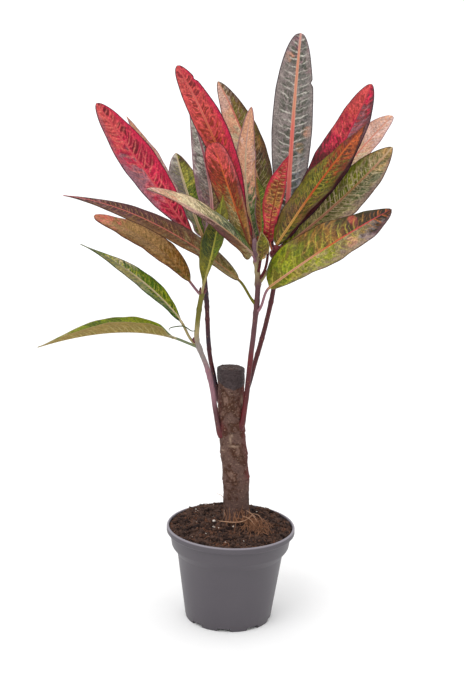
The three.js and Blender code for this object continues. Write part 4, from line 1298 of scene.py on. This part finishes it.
def drain_cutters():
    """The blocks that cut the drain notches."""
    cutters = []
    for drain in range(DRAIN_COUNT):
        angle = math.radians(DRAIN_FIRST_ANGLE + 360 / DRAIN_COUNT * drain)
        bpy.ops.mesh.primitive_cube_add(size=1)
        cutter = bpy.context.object
        cutter.data.transform(Matrix.Diagonal((2 * DRAIN_DEPTH, DRAIN_WIDTH, 2 * DRAIN_HEIGHT, 1)))
        cutter.data.transform(Matrix.Translation((POT_BASE_RADIUS, 0, 0)))
        cutter.data.transform(Matrix.Rotation(angle, 4, "Z"))
        cutters.append(cutter)
    return cutters


def cut_away(piece, cutters):
    """Takes the cutters' solids out of a piece, and removes them."""
    for cutter in cutters:
        trim = piece.modifiers.new("trim", "BOOLEAN")
        trim.object = cutter
        trim.solver = "EXACT"
    depsgraph = bpy.context.evaluated_depsgraph_get()
    mesh = bpy.data.meshes.new_from_object(piece.evaluated_get(depsgraph))
    piece.modifiers.clear()
    piece.data = mesh
    mesh.set_sharp_from_angle(angle=math.radians(35))
    for cutter in cutters:
        bpy.data.objects.remove(cutter)


# ---------------------------------------------------------------- soil


def soil_height(x, y):
    """The height of the soil's top at a place: level by the wall, heaped up to the trunk."""
    inward = max(0.0, 1 - math.hypot(x, y) / POT_COLLAR_FOOT_RADIUS)
    mound = SOIL_MOUND * math.sin(math.pi / 2 * min(1, inward * 1.6))
    beside = math.hypot(x - TRUNK_MIDDLE[0][0], y - TRUNK_MIDDLE[0][1]) - TRUNK_RADIUS
    heap = SOIL_HEAP * math.exp(-((max(0, beside) / mm(7)) ** 2))
    rough = mm(1.8) * fractal((x, y, 0), 60, 3) + mm(1.0) * fractal((x, y, 3), 260, 3)
    behind = SOIL_BACK * min(1, max(0.0, y / mm(45))) ** 2
    return SOIL_LEVEL + mound + heap + behind + rough * min(1, inward * 6 + 0.45)


def make_soil(material):
    """The peat's rough top, closed below inside the pot."""
    sides, rings = 170, 66
    edge = POT_LIP_INNER_RADIUS - mm(0.3)
    bearings = [360 * side / sides for side in range(sides)]
    corners = [around(bearing, edge - mm(5), SOIL_LEVEL - mm(9)) for bearing in bearings]
    for ring in range(rings):
        radius = edge * (1 - ring / rings)
        for bearing in bearings:
            x, y, _ = level(bearing) * radius
            corners.append((x, y, soil_height(x, y)))
    return mesh_object("soil_top", corners, ring_faces(rings + 1, sides), material)


def lump(rng, centre, size, squash=0.8, rows=5, sides=7, rough=0.3):
    """Corners and faces of a small irregular grain."""
    turn = Matrix.Rotation(rng.uniform(0, 6.3), 3, "Z") @ Matrix.Rotation(rng.uniform(0, 3), 3, "X")
    corners = []
    for row in range(1, rows):
        lift = math.cos(math.pi * row / rows)
        wide = math.sin(math.pi * row / rows)
        for side in range(sides):
            angle = 2 * math.pi * side / sides
            spot = Vector((wide * math.cos(angle), wide * math.sin(angle), lift))
            spot *= size * (1 + rng.uniform(-rough, rough))
            spot = turn @ spot
            spot.z *= squash
            corners.append(Vector(centre) + spot)
    return corners, ring_faces(rows - 1, sides)


def gather(name, lumps, material):
    """Joins many small shapes in one mesh object."""
    corners, faces = [], []
    for shape_corners, shape_faces in lumps:
        start = len(corners)
        corners += shape_corners
        faces += [tuple(start + index for index in face) for face in shape_faces]
    return mesh_object(name, corners, faces, material)


def on_soil(rng, near=None, spread=None):
    """A random place on the soil, clear of the trunk and of the pot's wall."""
    outermost = POT_LIP_INNER_RADIUS - mm(1.8)
    while True:
        if near is None:
            radius = math.sqrt(rng.random()) * outermost
            x, y, _ = level(rng.uniform(0, 360)) * radius
        else:
            x, y = rng.gauss(near[0], spread), rng.gauss(near[1], spread)
        clear = math.hypot(x - TRUNK_MIDDLE[0][0], y) > TRUNK_RADIUS - mm(1)
        if clear and math.hypot(x, y) < outermost:
            return x, y


def make_crumbs(name, seed, count, sizes, material):
    """Crumbs of peat scattered over the soil."""
    rng = random.Random(seed)
    lumps = []
    for _ in range(count):
        x, y = on_soil(rng)
        size = mm(rng.triangular(*sizes))
        lumps.append(lump(rng, (x, y, soil_height(x, y) + size * 0.35), size))
    return gather(name, lumps, material)


# White grains, listed one by one as places on the soil in millimetres, with their radius.
PERLITE = [
    (-42.2, 27.2, 0.9),
    (-31.8, 29.5, 0.8),
    (-32.7, 0.1, 1.5),
    (-16.0, 10.7, 1.1),
    (-15.8, 0.2, 1.5),
    (-15.0, -13.9, 1.0),
    (-16.4, -36.5, 0.9),
    (-4.4, -46.4, 1.0),
    (24.9, 30.4, 1.1),
    (29.6, -10.0, 1.2),
    (-42, -20, 0.6),
    (12, -40, 0.6),
    (38, -24, 0.5),
]

PERLITE_STRAYS = 34  # more grains, anywhere on the soil

# Roots that show well, in millimetres, each with its radius: the pale arc before the trunk,
# a thread that stands free to its left, and three loose ends to its right.
ARC_ROOTS = [
    ([(-14, 0, 93), (-10, -6, 95.5), (0, -14.5, 98), (8.5, -17, 99.5), (14.5, -12, 100),
      (20, -2, 101), (23, 4, 97)], 0.45),
    ([(-6, -6, 100), (-8.1, 0, 117), (-14.3, 0, 120.8)], 0.25),
    ([(14, -9, 108), (20, -10, 104), (25, -11, 97), (28, -12, 91)], 0.3),
    ([(10, -13, 104), (17, -15, 102), (24, -16, 94)], 0.3),
    ([(17, -4, 103), (25, -4, 102), (31, -6, 95)], 0.25),
]
# The thin curled thread beside the lowest leaves.
TENDRIL = ([(-36, -25, 281), (-40, -26, 280.6), (-47, -26, 284.5), (-54, -26, 284.2),
            (-60, -26, 282.2), (-60.3, -26, 279.9)], 0.55)
# The swollen tip of the front right stem, and the red bracts at the tip of the back one.
CROWN_NODE = ([(14.8, -12, 343), (14, -12.5, 352), (12.2, -13, 363)], 3.2)
CROWN_BRACTS = [
    ([(35, 10, 346), (34, -3, 350), (31, -9, 356)], 4.0),
    ([(36, 11, 347), (37, -2, 351), (36.5, -8, 356)], 3.6),
    ([(34, 11, 345), (30, -2, 347), (28.5, -8, 351)], 3.2),
]


def make_perlite(material):
    """White grains: the listed ones, and others all round."""
    rng = random.Random(5)
    lumps = []
    for x, y, size in PERLITE:
        spot = (mm(x), mm(y), soil_height(mm(x), mm(y)) + mm(0.9))
        lumps.append(lump(rng, spot, mm(size), 0.8, 6, 8, 0.2))
    for _ in range(PERLITE_STRAYS):
        x, y = on_soil(rng)
        size = mm(rng.uniform(0.4, 1.0))
        lumps.append(lump(rng, (x, y, soil_height(x, y) + size), size, 0.8, 5, 7, 0.2))
    return gather("perlite_grains", lumps, material)


def thread(points, radius, sides=5, rows=14):
    """Corners and faces of a thin round thread through points, pointed at its ends."""
    curve = catmull_rom([np.array(point) for point in points], 12)
    line, ways = resample(curve, np.linspace(0, 1, rows))
    radii = radius * (1 - 0.6 * np.abs(np.linspace(-1, 1, rows)) ** 4)
    rings = tube_rings(line, ways, radii[:, None], sides)
    return list(rings.reshape(-1, 3)), ring_faces(rows, sides)


def make_fibres(name, seed, count, lengths, radius, material, near=None, spread=None, lift=1.6):
    """Thin fibres that lie curled on the soil, up to lift millimetres over it."""
    rng = random.Random(seed)
    threads = []
    for _ in range(count):
        x, y = on_soil(rng, near, spread)
        bearing = rng.uniform(0, 360)
        length = mm(rng.uniform(*lengths))
        rise = mm(rng.uniform(0, lift))
        bend = rng.uniform(-30, 30)
        points = []
        for step in range(6):
            above = mm(0.3) + rise * math.sin(math.pi * step / 5)
            points.append((x, y, soil_height(x, y) + above))
            bearing += bend + rng.uniform(-25, 25)
            x, y = np.array([x, y]) + level(bearing)[:2] * length / 5
            outside = math.hypot(x, y) / (POT_LIP_INNER_RADIUS - mm(1.5))
            if outside > 1:
                x, y = x / outside, y / outside
        threads.append(thread(points, mm(rng.uniform(*radius))))
    return gather(name, threads, material)


TRUNK_ROOTS = 60


def make_trunk_roots(material):
    """Fine roots that run down the trunk's foot into the soil, and a few that arch beside it."""
    rng = random.Random(11)
    threads = []
    foot = TRUNK_MIDDLE[1]
    for _ in range(TRUNK_ROOTS):
        bearing = rng.gauss(-60, 50)
        top = mm(rng.triangular(96, 116, 100))
        out = TRUNK_RADIUS - mm(0.2)
        flare = mm(rng.uniform(1, 7))
        points = []
        for step in range(5):
            drop = step / 4
            height = top + (mm(91) - top) * drop
            x, y, _ = foot + level(bearing) * (out + flare * drop**3)
            points.append((x, y, max(height, soil_height(x, y) + mm(0.2))))
            bearing += rng.uniform(-9, 9)
        threads.append(thread(points, mm(rng.uniform(0.12, 0.32))))
    return gather("trunk_roots", threads, material)


def make_threads(name, routes, material, sides=8, rows=30):
    """Round threads along routes, each of which has points and a radius in millimetres."""
    threads = []
    for points, radius in routes:
        threads.append(thread([mm(*point) for point in points], mm(radius), sides, rows))
    return gather(name, threads, material)


def make_bud_scales(material):
    """Small pointed scales round the tip of each stem, and a bud on the side of the pale one."""
    rng = random.Random(3)
    threads = []
    for stem in STEMS.values():
        points, ways = resample(stem_line(stem), [0.97])
        for scale in range(6):
            bearing = 60 * scale + rng.uniform(-15, 15)
            way = level(bearing)
            start = points[0] + way * stem["radius"] * 0.8
            end = points[0] + way * stem["radius"] * 1.1 + ways[0] * mm(rng.uniform(4, 7))
            threads.append(thread([start, (start + end) / 2 + way * mm(0.5), end], mm(0.8), 8, 10))
    points, ways = resample(stem_line(STEMS["stem_left_pale"]), [0.64])
    start = points[0] + mm(-2, -1, 0)
    threads.append(thread([start, start + mm(-1.2, 0, 2.5), start + mm(-0.8, 0, 5)], mm(1.3), 8, 12))
    return gather("bud_scales", threads, material)


# ---------------------------------------------------------------- studio

FLOOR_HALF_SIZE = 40.0
SURROUND_STRENGTH = 1.15
KEY_POWER = 0.9
KEY_SOFTNESS = math.radians(40)
KEY_TURN = (math.radians(42), 0, math.radians(-38))
CAMERA_PLACE = (-0.0043, -1.150, 0.531)
CAMERA_DOWN = math.radians(12.9)  # how far it looks down
CAMERA_ROLL = math.radians(1.8)
CAMERA_FOCAL = 1300  # in pixels of the picture
PICTURE_HEIGHT = 680  # in pixels


def make_studio():
    """A pale floor, a white surround and a soft key light from the upper left."""
    shader = Shader("floor")
    paper = shader.noise(shader.place(), 40.0, 2.0)
    white = shader.mix(paper, (0.89, 0.89, 0.89, 1), (0.91, 0.91, 0.91, 1))
    size = FLOOR_HALF_SIZE
    corners = [(-size, -size, 0), (size, -size, 0), (size, size, 0), (-size, size, 0)]
    floor = mesh_object("studio_floor", corners, [(0, 1, 2, 3)], shader.finish(white, 0.9))
    world = bpy.data.worlds.new("surround")
    world.use_nodes = True
    background = world.node_tree.nodes["Background"]
    background.inputs["Color"].default_value = (1, 1, 1, 1)
    background.inputs["Strength"].default_value = SURROUND_STRENGTH
    bpy.context.scene.world = world
    key = bpy.data.objects.new("key_light", bpy.data.lights.new("key_light", "SUN"))
    key.data.energy = KEY_POWER
    key.data.angle = KEY_SOFTNESS
    key.rotation_euler = KEY_TURN
    bpy.context.scene.collection.objects.link(key)
    bpy.context.scene.view_settings.view_transform = "Standard"


def make_camera():
    """The photo's view: a long lens as high as the plant's top, looking slightly down."""
    down, roll = CAMERA_DOWN, CAMERA_ROLL
    forward = Vector((0, math.cos(down), -math.sin(down)))
    upward = Vector((0, math.sin(down), math.cos(down)))
    right = Vector((1, 0, 0))
    axis_x = right * math.cos(roll) + upward * math.sin(roll)
    axis_y = upward * math.cos(roll) - right * math.sin(roll)
    camera = bpy.data.objects.new("camera", bpy.data.cameras.new("camera"))
    turn = Matrix((axis_x, axis_y, -forward)).transposed()
    camera.matrix_world = Matrix.Translation(CAMERA_PLACE) @ turn.to_4x4()
    camera.data.sensor_width = 36
    camera.data.lens = CAMERA_FOCAL / PICTURE_HEIGHT * camera.data.sensor_width
    bpy.context.scene.collection.objects.link(camera)
    bpy.context.scene.camera = camera


# ---------------------------------------------------------------- the whole picture


def stand_for(piece, node, slot):
    """The piece takes the place of a plain solid."""
    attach(piece, "root")
    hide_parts(node)


def dress(piece):
    """The piece is added to the plant."""
    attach(piece, "root")


make_camera()
make_studio()

stand_for(make_pot(pot_material()), "pot", "pot_plastic")

PEAT_DARK = (0.014, 0.007, 0.006, 1)
PEAT_LIGHT = (0.085, 0.047, 0.034, 1)
PEAT_RED = (0.11, 0.045, 0.025, 1)
peat = soil_material("peat", PEAT_DARK, PEAT_LIGHT)
crumbs = soil_material("crumbs", PEAT_DARK, PEAT_LIGHT)
red_crumbs = soil_material("red_crumbs", PEAT_LIGHT, PEAT_RED)
stand_for(make_soil(peat), "soil", "soil")
dress(make_crumbs("peat_crumbs", 1, 1900, (0.5, 2.6, 1.0), crumbs))
dress(make_crumbs("peat_red_crumbs", 2, 1000, (0.4, 2.0, 0.9), red_crumbs))
dress(make_perlite(plain_material("perlite", (0.62, 0.56, 0.5, 1), 0.9)))

root_brown = plain_material("root_brown", (0.2, 0.09, 0.05, 1), 0.8)
root_orange = plain_material("root_orange", (0.25, 0.115, 0.06, 1), 0.8)
root_pale = plain_material("root_pale", (0.42, 0.24, 0.15, 1), 0.8)
dress(make_fibres("peat_fibres", 7, 260, (5, 15), (0.1, 0.26), root_brown))
dress(make_fibres("root_mat", 8, 190, (7, 17), (0.1, 0.24), root_orange,
                  (mm(20), mm(-11)), mm(5.5), 9))
dress(make_trunk_roots(root_orange))
dress(make_threads("arc_roots", ARC_ROOTS, root_pale))

stand_for(make_trunk(bark_material()), "trunk", "bark")
for stem_name, stem_spec in STEMS.items():
    bark = stem_material(stem_name + "_skin", STEM_COLOURS[stem_name])
    stand_for(make_stem(stem_name, stem_spec, bark), stem_name, stem_spec["slot"])
for leaf_name, leaf_spec in LEAVES.items():
    whole_leaf = {**PLAIN_LEAF, **leaf_spec}
    skin = leaf_material(leaf_name + "_skin", whole_leaf)
    stand_for(make_leaf(leaf_name, whole_leaf, skin), leaf_name, whole_leaf["slot"])
tendril_green = plain_material("tendril_green", (0.05, 0.07, 0.015, 1), 0.6)
dress(make_threads("tendril", [TENDRIL], tendril_green))
dress(make_bud_scales(plain_material("scale_red", (0.1, 0.025, 0.03, 1), 0.6)))
node_mauve = plain_material("node_mauve", (0.2, 0.11, 0.13, 1), 0.5)
dress(make_threads("crown_node", [CROWN_NODE], node_mauve, 14, 18))
bract_red = plain_material("bract_red", (0.12, 0.012, 0.018, 1), 0.4)
dress(make_threads("crown_bracts", CROWN_BRACTS, bract_red, 14, 18))
